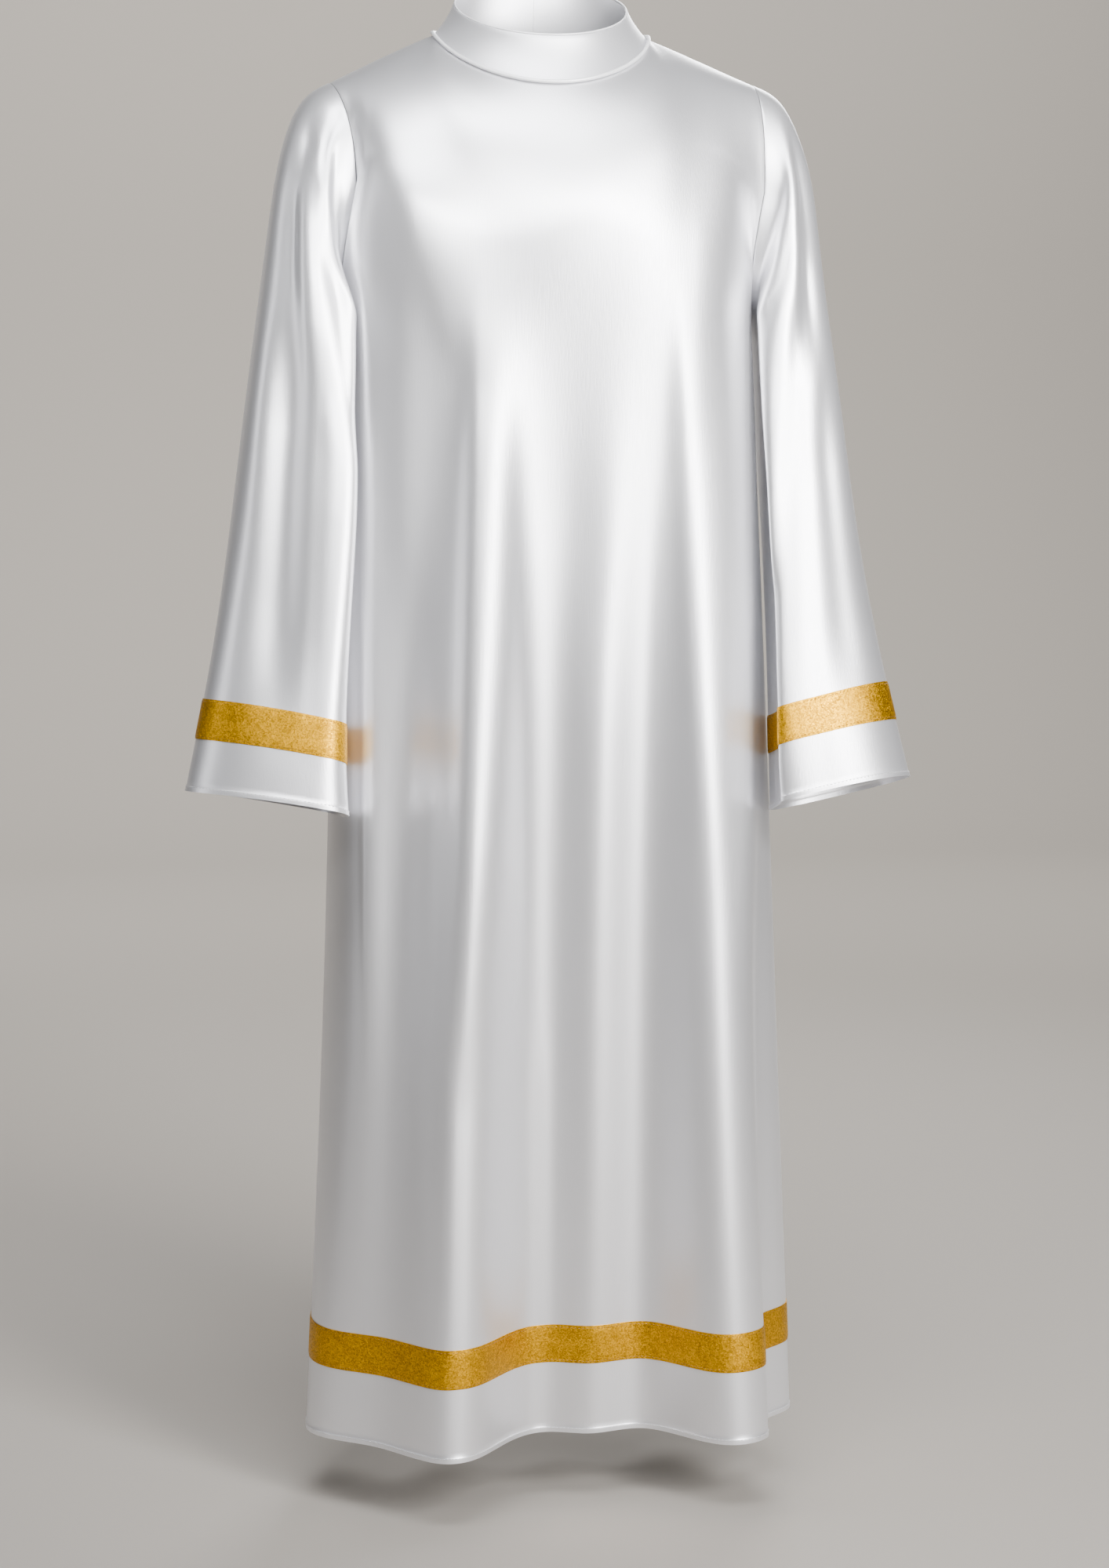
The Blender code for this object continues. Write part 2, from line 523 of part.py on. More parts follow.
def build():
    remove_scene_objects()
    white = material("white satin", WHITE, 0.35, 0.0)
    gold = material("gold cloth", GOLD, 0.40, 0.55)

    front_columns = panel_columns(True)
    back_columns = panel_columns(False)
    front = panel_grid(front_columns, True)
    back = panel_grid(back_columns, False)
    front_out = grid_normals(front, False)
    back_out = grid_normals(back, False)

    # The side seams share their normals, and so do the shoulder seams.
    low = slice(UPPER_ROWS, None)
    front_out[low, -1], back_out[low, 0] = shared(front_out[low, -1], back_out[low, 0])
    front_out[low, 0], back_out[low, -1] = shared(front_out[low, 0], back_out[low, -1])
    for k in range(SHOULDER_COLUMNS + 1):
        front_out[0, -1 - k], back_out[0, k] = shared(front_out[0, -1 - k], back_out[0, k])
        front_out[0, k], back_out[0, -1 - k] = shared(front_out[0, k], back_out[0, -1 - k])

    # The sleeves meet the body at the armholes, with the same points round them.
    around = 2 * UPPER_ROWS
    turns = np.arange(around) * 360.0 / around
    spread = np.linspace(0.0, 1.0, SLEEVE_RINGS + 1) ** 1.15
    for side, word in ((-1.0, "left"), (1.0, "right")):
        rings = sleeve_end_rings(side, spread)
        sleeve = sleeve_rings(side, rings, turns)
        sleeve_out = grid_normals(sleeve, True) * -side
        end = 0 if side < 0 else -1
        other = -1 if side < 0 else 0
        for k in range(UPPER_ROWS + 1):
            mine = sleeve_out[0, k % around].copy()
            front_out[k, end], sleeve_out[0, k % around] = shared(front_out[k, end], mine)
            behind = (-k) % around
            mine = sleeve_out[0, behind].copy()
            back_out[k, other], sleeve_out[0, behind] = shared(back_out[k, other], mine)
        sleeve[..., 0] += side * 1.6 * SEAM_GAP
        flip = side > 0
        place("sleeve_" + word, wall_mesh("sleeve_" + word, sleeve, sleeve_out, CLOTH, True, flip), white)
        band = sleeve[-3:-1] + sleeve_out[-3:-1] * (SEAM_GAP + BAND_CLOTH)
        place("cuff_band_" + word, wall_mesh("cuff_band_" + word, band, sleeve_out[-3:-1], BAND_CLOTH,
                                             True, flip), gold)

    # The collar stands on the neckline, and its ends meet at the centre back.
    middle = SHOULDER_COLUMNS + BACK_NECK_COLUMNS
    front_turns = np.linspace(-90.0, 90.0, FRONT_NECK_COLUMNS + 1)
    back_half = np.linspace(90.0, 180.0, BACK_NECK_COLUMNS + 1)
    all_turns = np.concatenate([-back_half[::-1], front_turns[1:-1], back_half])
    collar = collar_grid(all_turns, (0.0, 0.33, 0.67, 1.0))
    collar_out = grid_normals(collar, False)
    piping_out = collar_out[-1, :-1].copy()
    for k in range(FRONT_NECK_COLUMNS + 1):
        at = BACK_NECK_COLUMNS + k
        column = SHOULDER_COLUMNS + k
        collar_out[-1, at], front_out[0, column] = shared(collar_out[-1, at], front_out[0, column])
    for k in range(BACK_NECK_COLUMNS + 1):
        right = BACK_NECK_COLUMNS + FRONT_NECK_COLUMNS + k
        column = SHOULDER_COLUMNS + k
        collar_out[-1, right], back_out[0, column] = shared(collar_out[-1, right], back_out[0, column])
        collar_out[-1, k], back_out[0, middle + k] = shared(collar_out[-1, k], back_out[0, middle + k])
    for column in (0, -1):
        pull_in(collar, 0.6 * SEAM_GAP, column=column)
    pull_in(collar, SEAM_GAP, row=-1)
    place("collar", wall_mesh("collar", collar, collar_out, COLLAR_CLOTH, False), white)

    path = collar_grid(all_turns[:-1], (1.0,))[0]
    ahead = unit(np.roll(path, -1, axis=0) - np.roll(path, 1, axis=0))
    up = unit(np.cross(ahead, piping_out))
    away = unit(np.cross(up, ahead))
    path = path + away * (PIPING_RADIUS + 2.0 * SEAM_GAP)
    place("collar_piping", tube_mesh("collar_piping", path, away, up, PIPING_RADIUS, 6), white)

    pieces = (
        ("front", front, front_out),
        ("back_right", back[:, :middle + 1], back_out[:, :middle + 1]),
        ("back_left", back[:, middle:], back_out[:, middle:]),
    )
    for name, grid, out in pieces:
        grid = grid.copy()
        for column in (0, -1):
            pull_in(grid, 0.6 * SEAM_GAP, column=column)
        pull_in(grid, 0.6 * SEAM_GAP, row=0)
        place(name, wall_mesh(name, grid, out, CLOTH, False), white)

    for name, grid, out in (("hem_band_front", front, front_out), ("hem_band_back", back, back_out)):
        band = (grid + out * (SEAM_GAP + BAND_CLOTH))[-3:-1].copy()
        for column in (0, -1):
            pull_in(band, 0.6 * SEAM_GAP, column=column)
        place(name, wall_mesh(name, band, out[-3:-1], BAND_CLOTH, False), gold)


def sleeve_end_rings(side, spread):
    """Places along a sleeve whose last rings are the edges of its gold band."""
    rise = CUFF_BAND_RISE_LEFT if side < 0 else CUFF_BAND_RISE_RIGHT
    band_low = 1.0 - rise / SLEEVE_LENGTH
    band_high = band_low - BAND_WIDTH / SLEEVE_LENGTH
    return np.concatenate([spread * band_high, [band_low, 1.0]])


build()
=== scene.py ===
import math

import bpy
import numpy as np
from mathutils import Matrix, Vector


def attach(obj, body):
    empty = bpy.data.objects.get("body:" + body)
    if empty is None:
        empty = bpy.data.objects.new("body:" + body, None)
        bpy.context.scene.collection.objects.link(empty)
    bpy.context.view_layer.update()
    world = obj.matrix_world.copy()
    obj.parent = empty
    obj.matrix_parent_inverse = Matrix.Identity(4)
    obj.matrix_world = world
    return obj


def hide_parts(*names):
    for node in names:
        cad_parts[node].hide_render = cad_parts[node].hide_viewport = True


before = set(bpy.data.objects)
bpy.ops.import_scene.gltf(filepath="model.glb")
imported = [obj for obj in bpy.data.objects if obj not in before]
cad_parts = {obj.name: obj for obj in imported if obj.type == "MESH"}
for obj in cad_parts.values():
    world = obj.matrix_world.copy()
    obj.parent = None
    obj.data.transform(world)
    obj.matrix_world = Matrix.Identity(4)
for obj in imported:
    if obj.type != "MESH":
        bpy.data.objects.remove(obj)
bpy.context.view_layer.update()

# Alb: a white satin robe with a stand collar, bell sleeves and gold bands, as it hangs when worn.
# +X is to the viewer's right, the front faces -Y and +Z is up. The origin lies between the two
# points where the shoulder seams meet the collar. Sizes are in metres and angles in degrees.
# In the tables f is the distance forward of the shoulder line, so y = -f.

CLOTH = 0.0012
COLLAR_CLOTH = 0.0020
BAND_CLOTH = 0.0009
SEAM_GAP = 0.0003
SEAM_DIP = 0.0003
SEAM_PULL = 0.6 * SEAM_GAP
SLEEVE_CLEARANCE = 1.6 * SEAM_GAP

CHEST_Z = -0.27
HEM_Z = -1.42
BAND_WIDTH = 0.040
HEM_BAND_RISE = 0.075
CUFF_BAND_RISE_LEFT = 0.053
CUFF_BAND_RISE_RIGHT = 0.061
SLEEVE_LENGTH = 0.77
HEM_TURNING = 0.0055
TURNING_RISE = 0.0005
TURNING_STEP = 0.0006
TURNING_SHARES = (1.0, 0.85, 0.5, 0.2, 0.0)
HEM_STITCH_ROW = -4

NECK_HALF_WIDTH = 0.1075
NECK_FRONT = 0.088
NECK_BACK = 0.060
NECK_FRONT_DROP = 0.057
NECK_BACK_RISE = 0.010
NECK_SHARE = 0.45

SHOULDER_TIP_X = 0.2135
UNDERARM_INSET = 0.0045
SHOULDER_DROP_LEFT = 0.0505
SHOULDER_DROP_RIGHT = 0.0450
NECK_SLANT = 60.0
SIDE_NECK_SLANT = 33.0
TIP_SLANT = 18.0
NECK_SPLAY = 0.5
NECK_SOFTNESS = 0.12
SHOULDER_SPRING = 0.40
CHEST_SPRING = 0.45

COLLAR_TOP_HALF_WIDTH = 0.0880
COLLAR_TOP_FRONT = 0.074
COLLAR_TOP_BACK = 0.056
COLLAR_TOP_Z = 0.028
COLLAR_TOP_SLOPE = 0.52
COLLAR_BOW = 0.0022
PIPING_RADIUS = 0.0019
RIM_RADIUS = 0.0009

STITCH_LENGTH = 0.0030
STITCH_PITCH = 0.0040
STITCH_WIDTH = 0.0009
STITCH_INSET = 0.0026

# How finely each piece is divided.
SHOULDER_COLUMNS = 44
NECK_COLUMNS = 90
UPPER_ROWS = 70
LOWER_ROWS = 118
BAND_ROWS = 8
SLEEVE_TURNS = 160
SLEEVE_RINGS = 150
SLEEVE_CROWDING = 1.1
ROWS_BELOW_HEM_BAND = 13
RINGS_BELOW_CUFF_BAND = 11
COLLAR_TURNS = 180
COLLAR_ROWS = 12
PIPING_SIDES = 10
RIM_SIDES = 8
SHARP_EDGE = 50.0

LEVELS = (CHEST_Z, -0.52, -0.95, HEM_Z)
BODY_LINES = (
    # line, then x and f at the chest, at the waist, at the knee and at the hem
    ("side left", -0.207, 0.000, -0.213, 0.004, -0.225, 0.006, -0.248, 0.006),
    ("corner left", -0.191, 0.080, -0.193, 0.082, -0.201, 0.080, -0.228, 0.060),
    ("flat left", -0.156, 0.103, -0.165, 0.100, -0.179, 0.095, -0.195, 0.083),
    ("flank left", -0.115, 0.116, -0.135, 0.108, -0.154, 0.104, -0.168, 0.108),
    ("crest one", -0.078, 0.123, -0.087, 0.130, -0.103, 0.144, -0.112, 0.157),
    ("foot one", -0.024, 0.124, -0.022, 0.119, -0.036, 0.104, -0.043, 0.092),
    ("hollow left", 0.018, 0.124, 0.016, 0.114, 0.004, 0.091, -0.002, 0.070),
    ("middle crest", 0.060, 0.122, 0.052, 0.118, 0.041, 0.099, 0.041, 0.081),
    ("hollow right", 0.101, 0.117, 0.094, 0.111, 0.093, 0.092, 0.098, 0.073),
    ("crest two", 0.143, 0.107, 0.145, 0.115, 0.155, 0.126, 0.174, 0.137),
    ("edge two", 0.180, 0.090, 0.187, 0.098, 0.199, 0.106, 0.2210, 0.110),
    ("groove", 0.198, 0.066, 0.206, 0.072, 0.211, 0.078, 0.2180, 0.076),
    ("strip", 0.2055, 0.036, 0.220, 0.038, 0.236, 0.044, 0.2540, 0.038),
    ("side right", 0.209, 0.000, 0.223, 0.000, 0.244, -0.004, 0.263, 0.004),
    ("back corner right", 0.182, -0.074, 0.192, -0.080, 0.208, -0.088, 0.232, -0.090),
    ("back crest one", 0.138, -0.101, 0.144, -0.113, 0.157, -0.128, 0.176, -0.146),
    ("back hollow one", 0.090, -0.110, 0.094, -0.107, 0.100, -0.103, 0.108, -0.100),
    ("back crest two", 0.045, -0.113, 0.047, -0.119, 0.050, -0.126, 0.052, -0.131),
    ("centre back", 0.000, -0.114, 0.000, -0.114, -0.002, -0.110, -0.004, -0.106),
    ("back crest three", -0.048, -0.113, -0.051, -0.121, -0.056, -0.135, -0.062, -0.150),
    ("back hollow two", -0.094, -0.109, -0.098, -0.105, -0.105, -0.099, -0.115, -0.092),
    ("back crest four", -0.138, -0.100, -0.143, -0.109, -0.155, -0.121, -0.172, -0.136),
    ("back corner left", -0.181, -0.073, -0.186, -0.078, -0.198, -0.084, -0.218, -0.086),
)
SIDE_RIGHT_LINE = 13
CENTRE_BACK_LINE = 18

# Sections of the sleeves: along goes from 0 at the armhole to 1 at the sleeve's end.
SLEEVE_COLUMNS = ("along", "outer_x", "outer_z", "inner_x", "inner_z", "middle_f", "front", "back",
                  "front_inset", "tilt")
LEFT_STATIONS = (
    (0.00, 0.2135, -0.0505, 0.2070, -0.270, 0.000, 0.064, 0.058, 0.020, 0.000),
    (0.05, 0.2320, -0.0610, 0.2100, -0.275, 0.001, 0.066, 0.060, 0.019, 0.000),
    (0.12, 0.2495, -0.0860, 0.2125, -0.283, 0.003, 0.069, 0.062, 0.018, 0.000),
    (0.20, 0.2620, -0.1260, 0.2140, -0.297, 0.006, 0.071, 0.064, 0.016, 0.000),
    (0.35, 0.2790, -0.2260, 0.2155, -0.340, 0.014, 0.073, 0.064, 0.018, 0.000),
    (0.55, 0.3025, -0.3850, 0.2165, -0.442, 0.033, 0.072, 0.063, 0.022, 0.004),
    (0.78, 0.3310, -0.5800, 0.2155, -0.614, 0.064, 0.067, 0.060, 0.028, 0.004),
    (1.00, 0.3650, -0.7470, 0.2105, -0.775, 0.092, 0.062, 0.060, 0.036, 0.004),
)
RIGHT_STATIONS = (
    (0.00, 0.2135, -0.0450, 0.2090, -0.270, 0.000, 0.062, 0.058, -0.006, 0.000),
    (0.05, 0.2340, -0.0550, 0.2120, -0.275, 0.000, 0.064, 0.060, -0.006, 0.000),
    (0.12, 0.2510, -0.0800, 0.2145, -0.283, 0.001, 0.068, 0.062, -0.004, 0.000),
    (0.20, 0.2635, -0.1210, 0.2165, -0.297, 0.003, 0.070, 0.064, -0.002, 0.000),
    (0.35, 0.2780, -0.2240, 0.2190, -0.340, 0.010, 0.072, 0.064, 0.002, 0.000),
    (0.55, 0.3000, -0.3850, 0.2225, -0.442, 0.030, 0.071, 0.063, 0.006, 0.004),
    (0.78, 0.3300, -0.5800, 0.2255, -0.614, 0.060, 0.066, 0.060, 0.014, 0.008),
    (1.00, 0.3660, -0.7450, 0.2245, -0.775, 0.084, 0.060, 0.058, 0.018, 0.012),
)
SLEEVE_SQUARENESS = 2.5

# Folds of the sleeves. turn is the angle round the sleeve: 0 is outermost, 90 in front, 180 against
# the body and 270 behind. depth is outward, so a hollow has a negative one.
FOLD_COLUMNS = ("turn_top", "turn_end", "width", "depth", "begin", "end")
LEFT_FOLDS = (
    (62, 96, 20, 0.0060, 0.02, 0.50),
    (38, 60, 14, -0.0050, 0.03, 0.42),
    (20, 44, 22, 0.0050, 0.05, 0.80),
    (66, 62, 26, -0.0090, 0.38, 0.97),
    (104, 100, 24, 0.0060, 0.45, 1.10),
    (246, 258, 24, -0.0070, 0.20, 0.95),
    (284, 300, 24, 0.0060, 0.10, 0.90),
)
RIGHT_FOLDS = (
    (78, 104, 18, 0.0050, 0.02, 0.50),
    (50, 74, 16, -0.0050, 0.05, 0.50),
    (24, 46, 22, 0.0050, 0.05, 0.80),
    (70, 70, 24, -0.0060, 0.45, 0.97),
    (112, 118, 22, -0.0050, 0.45, 1.00),
    (244, 252, 24, -0.0070, 0.20, 0.95),
    (282, 296, 24, 0.0060, 0.10, 0.90),
)

# Finer creases of the body. Each runs from z_top to z_end through three places across. left and
# right are the widths of its two slopes. A ridge has a positive depth, a trough a negative one.
BODY_CREASE_COLUMNS = ("z_top", "z_end", "x_top", "x_middle", "x_end", "left", "right", "depth")
FRONT_CREASES = (
    (-0.12, -0.36, -0.165, -0.122, -0.082, 0.018, 0.034, 0.0026),
    (-0.22, -1.08, -0.074, -0.083, -0.097, 0.016, 0.046, 0.0100),
    (-0.90, -1.50, -0.093, -0.104, -0.112, 0.030, 0.050, 0.0018),
    (-0.92, -1.54, -0.092, -0.103, -0.110, 0.013, 0.017, -0.0036),
    (-0.66, -1.38, -0.126, -0.126, -0.124, 0.008, 0.011, -0.0014),
    (-0.20, -0.62, -0.150, -0.146, -0.142, 0.018, 0.022, 0.0022),
    (-0.30, -1.05, -0.036, -0.030, -0.020, 0.018, 0.024, -0.0026),
    (-0.45, -1.45, 0.018, 0.044, 0.046, 0.028, 0.034, 0.0040),
    (-0.22, -0.90, 0.124, 0.136, 0.152, 0.014, 0.026, 0.0042),
    (-0.60, -1.50, 0.150, 0.158, 0.168, 0.026, 0.030, 0.0020),
    (-0.95, -1.46, -0.018, -0.012, -0.006, 0.009, 0.013, 0.0014),
    (-0.20, -1.10, -0.186, -0.187, -0.188, 0.005, 0.014, 0.0034),
)
BACK_CREASES = (
    (-0.14, -0.90, -0.060, -0.068, -0.082, 0.020, 0.026, 0.0045),
    (-0.20, -1.15, 0.070, 0.066, 0.058, 0.024, 0.018, 0.0040),
    (-0.12, -0.46, 0.130, 0.112, 0.100, 0.022, 0.016, 0.0035),
    (-0.10, -0.40, -0.135, -0.120, -0.112, 0.014, 0.022, 0.0035),
    (-0.60, -1.44, -0.030, -0.026, -0.020, 0.010, 0.012, -0.0025),
    (-0.70, -1.44, 0.124, 0.128, 0.136, 0.012, 0.010, -0.0025),
)

# The line across the front, below which the cloth hangs straight down: x and z.
CHEST_FALL = (
    (-0.200, -0.100), (-0.170, -0.140), (-0.140, -0.175), (-0.105, -0.202), (-0.060, -0.214),
    (-0.010, -0.208), (0.035, -0.197), (0.080, -0.210), (0.120, -0.219), (0.160, -0.214),
    (0.200, -0.185),
)
CHEST_FALL_REACH = 0.2
CHEST_SWELL = 0.0075
CHEST_SWELL_ABOVE = 0.060
CHEST_SWELL_BELOW = 0.120
CHEST_SWELL_SIDE = 0.205
CHEST_SWELL_FADE = 0.07
BACK_FALL_Z = -0.235
BACK_SWELL = 0.0050

# The right edge of the front, which stands out a little beside the sleeve.
EDGE_FULLNESS = 0.0045
EDGE_X = 0.2
EDGE_WIDTH = 0.014
EDGE_TOP_Z = -0.13
EDGE_TOP_FADE = 0.12
EDGE_END_Z = -0.98
EDGE_END_FADE = 0.22

# How each sleeve's front inner edge laps towards the body.
LAP_COLUMNS = ("toward", "forward", "end")
LEFT_LAP = (0.020, 0.014, 0.53)
RIGHT_LAP = (0.018, 0.014, 0.80)
LAP_TURN = 128.0
LAP_SPREAD_OUTSIDE = 30.0
LAP_SPREAD_INSIDE = 15.0
LAP_START = 0.05
LAP_RISE = 0.20
LAP_FADE = 0.45

# How far the lines of the pattern are evened out.
JOIN_SOFTNESS = 0.022
JOIN_REACH = 3.2
NECK_LINE_SOFTNESS = 0.026
NECK_LINE_ROWS = 40
NECK_LINE_SIDES = 0.22
NECK_LINE_START = 0.55
NECK_LINE_LEAST = 0.002
CREASE_SIDE_FADE = 0.08
CREASE_TOP_FADE = 0.25

# Finer creases of the sleeves: begin and end are along the sleeve, low and high the slopes' widths.
SLEEVE_CREASE_COLUMNS = ("begin", "end", "turn_top", "turn_middle", "turn_end", "low", "high",
                         "depth")
LEFT_SLEEVE_CREASES = (
    (-0.02, 0.16, 44, 60, 76, 6, 7, -0.0014),
    (0.00, 0.22, 50, 76, 96, 7, 7, 0.0014),
    (0.02, 0.24, 62, 88, 110, 8, 8, -0.0018),
    (0.02, 0.30, 44, 66, 82, 11, 11, -0.0018),
    (0.10, 0.62, 30, 76, 108, 16, 18, 0.0036),
    (0.20, 0.56, 96, 112, 126, 12, 14, -0.0024),
    (0.30, 0.98, 52, 64, 82, 18, 20, -0.0036),
)
RIGHT_SLEEVE_CREASES = (
    (0.02, 0.32, 76, 88, 96, 8, 9, -0.0012),
    (0.10, 0.34, 60, 64, 60, 8, 9, 0.0012),
    (0.16, 0.46, 66, 78, 92, 9, 10, -0.0014),
    (0.20, 0.74, 84, 112, 146, 15, 20, 0.0030),
    (0.34, 0.96, 74, 88, 102, 18, 20, 0.0020),
    (0.66, 0.96, 128, 132, 136, 9, 10, -0.0034),
)

SATIN_WHITE = (0.80, 0.80, 0.825)
SATIN_SHADE = (0.77, 0.77, 0.80)
# The piping white is lighter than the satin: partly the piping's own white, partly a painted
# highlight for the bright line along the piping and the collar's top edge.
PIPING_WHITE_WITH_PAINTED_HIGHLIGHT = (0.90, 0.90, 0.91)
GOLD_BRIGHT = (0.84, 0.445, 0.0005)
GOLD_DEEP = (0.29, 0.133, 0.0)
FLOOR_COLOUR = (0.34, 0.315, 0.285)
SATINS = (
    # name, bright, shade, roughness, depth of the weave, gloss
    ("white satin", SATIN_WHITE, SATIN_SHADE, 0.38, 0.00012, 0.78),
    ("collar satin", SATIN_WHITE, SATIN_SHADE, 0.42, 0.00010, 0.70),
    # The piping satin is lighter and less glossy than the cloth: partly its own finish, partly a
    # painted highlight along the piping and the collar's rim.
    ("piping satin with painted highlight", PIPING_WHITE_WITH_PAINTED_HIGHLIGHT, SATIN_WHITE, 0.34, 0.00008, 0.25),
)
THREADS = (
    ("white thread", (0.66, 0.66, 0.68), (0.56, 0.56, 0.58), 0.5, 0.0002, 0.1),
    ("gold thread", (0.30, 0.14, 0.006), (0.20, 0.09, 0.003), 0.5, 0.0002, 0.1),
)

CAMERA_TURN = 8.0
CAMERA_DIP = 6.0
CAMERA_DISTANCE = 3.0
CAMERA_SHIFT_RIGHT = 0.014
CAMERA_HEIGHT = -0.44
SENSOR_HEIGHT = 36.0
LENS = 67.1

FLOOR_Z = HEM_Z - 0.075
STAGE_HALF = 8.0
STAGE_BEND_START = 5.0
STAGE_BEND_RADIUS = 1.8
STAGE_BEND_STEPS = 12
AIR_COLOUR = (0.95, 0.96, 1.0)
AIR_STRENGTH = 0.06
LIGHTS = (
    # name, place, aim, width, height, power, spread, colour
    ("key light", (1.45, -2.5, 0.15), (0.0, 0.0, -0.62), 0.9, 2.2, 200.0, 180.0, (1.0, 0.99, 0.98)),
    ("chest light", (0.10, -2.40, 0.70), (0.0, 0.0, -0.16), 2.2, 0.45, 14.0, 60.0, (1.0, 1.0, 1.0)),
    ("top light", (-0.2, -1.5, 1.9), (0.0, 0.0, -0.05), 2.2, 0.9, 22.0, 80.0, (0.97, 0.98, 1.0)),
    ("back light", (1.3, 3.2, 1.3), (0.0, 0.0, -0.6), 1.4, 1.4, 36.0, 100.0, (1.0, 1.0, 1.0)),
    ("wall light", (0.0, 3.2, 2.4), (0.0, 6.6, -0.6), 7.0, 0.6, 420.0, 180.0, (1.0, 0.99, 0.97)),
    ("left light", (-2.6, -0.4, 0.0), (0.0, 0.0, -0.6), 0.4, 1.8, 10.0, 180.0, (0.98, 0.98, 1.0)),
)


def unit(vectors):
    """The vectors, each with a length of one."""
    length = np.linalg.norm(vectors, axis=-1, keepdims=True)
    return vectors / np.maximum(length, 1e-9)


def smooth_step(value):
    """Rises softly from 0 to 1 as value does, and holds at both ends."""
    held = np.clip(value, 0.0, 1.0)
    return held * held * (3.0 - 2.0 * held)


def fill_bending_row(system, right, gaps, before, here, after):
    """Adds the equation that joins the curve's two pieces smoothly at a knot."""
    system[here, before] += gaps[before]
    system[here, here] += 2.0 * (gaps[before] + gaps[here])
    system[here, after] += gaps[here]
    right[here, before] += 6.0 / gaps[before]
    right[here, here] += -6.0 / gaps[before] - 6.0 / gaps[here]
    right[here, after] += 6.0 / gaps[here]


def spline_weights(knots, places):
    """Rows of weights that turn the knots' values into a smooth open curve's at the places."""
    count = len(knots)
    gaps = np.diff(knots)
    system = np.zeros((count, count))
    right = np.zeros((count, count))
    system[0, 0] = 1.0
    system[-1, -1] = 1.0
    for i in range(1, count - 1):
        fill_bending_row(system, right, gaps, i - 1, i, i + 1)
    return cubic_pieces(knots, gaps, np.linalg.solve(system, right), np.eye(count), places)


def ring_weights(knots, total, places):
    """The same for a closed curve whose knots repeat after the total length."""
    count = len(knots)
    closed = np.append(knots, total)
    gaps = np.diff(closed)
    system = np.zeros((count, count))
    right = np.zeros((count, count))
    for i in range(count):
        fill_bending_row(system, right, gaps, (i - 1) % count, i, (i + 1) % count)
    bends = np.linalg.solve(system, right)
    values = np.eye(count)
    return cubic_pieces(closed, gaps, np.vstack([bends, bends[:1]]),
                        np.vstack([values, values[:1]]), np.mod(places, total))


def cubic_pieces(knots, gaps, bends, values, places):
    """A piecewise cubic curve at the places, from its values and bends at the knots."""
    places = np.asarray(places, float)
    piece = np.clip(np.searchsorted(knots, places, side="right") - 1, 0, len(gaps) - 1)
    gap = gaps[piece][:, None]
    after = (places - knots[piece])[:, None] / gap
    before = 1.0 - after
    straight = before * values[piece] + after * values[piece + 1]
    curve = (before ** 3 - before) * bends[piece] + (after ** 3 - after) * bends[piece + 1]
    return straight + curve * gap * gap / 6.0


def body_line_levels():
    """The table of body lines as levels by lines by x and f."""
    numbers = np.array([row[1:] for row in BODY_LINES])
    return numbers.reshape(len(BODY_LINES), len(LEVELS), 2).transpose(1, 0, 2)


def girth_knots():
    """Distance round the body to each line, averaged over the levels, and the whole girth."""
    levels = body_line_levels()
    closed = np.concatenate([levels, levels[:, :1]], axis=1)
    steps = np.linalg.norm(np.diff(closed, axis=1), axis=2).mean(axis=0)
    along = np.concatenate([[0.0], np.cumsum(steps)])
    return along[:-1], along[-1]


def body_rings(heights, girths):
    """Points of the hanging body at each height and each distance round it."""
    heights = np.asarray(heights, float)
    levels = body_line_levels()
    upright = spline_weights(-np.array(LEVELS), -heights)
    lines = np.einsum("hl,lkc->hkc", upright, levels)
    knots, total = girth_knots()
    around = ring_weights(knots, total, girths)
    flat = np.einsum("gk,hkc->hgc", around, lines)
    points = np.empty(flat.shape[:2] + (3,))
    points[..., 0] = flat[..., 0]
    points[..., 1] = -flat[..., 1]
    points[..., 2] = heights[:, None]
    return points


def neck_point(turn, front):
    """A point of the neckline. turn runs from -90 to 90 degrees, 0 at the centre front or back."""
    reach = np.maximum(np.cos(np.radians(turn)), 0.0)
    x = NECK_HALF_WIDTH * np.sin(np.radians(turn))
    if front:
        return np.stack([x, -NECK_FRONT * reach, -NECK_FRONT_DROP * reach ** 1.25], axis=-1)
    return np.stack([x, NECK_BACK * reach, NECK_BACK_RISE * reach], axis=-1)


def shoulder_point(share, side):
    """A point of the shoulder seam, from the neck (0) to the tip (1)."""
    x = NECK_HALF_WIDTH + (SHOULDER_TIP_X - NECK_HALF_WIDTH) * share
    drop = np.where(side < 0, SHOULDER_DROP_LEFT, SHOULDER_DROP_RIGHT)
    z = -drop * (0.88 * share + 0.12 * share * share)
    return np.stack([side * x, 0.0 * share, z], axis=-1)


def top_edge(across, front):
    """The top of the front or back: seam, neckline and seam, as across goes from -1 to 1."""
    across = np.asarray(across, float)
    share = np.clip((np.abs(across) - NECK_SHARE) / (1.0 - NECK_SHARE), 0.0, 1.0)
    turn = np.clip(across / NECK_SHARE, -1.0, 1.0) * 90.0
    side = np.where(across < 0, -1.0, 1.0)
    on_neck = (np.abs(across) <= NECK_SHARE)[:, None]
    return np.where(on_neck, neck_point(turn, front), shoulder_point(share, side))


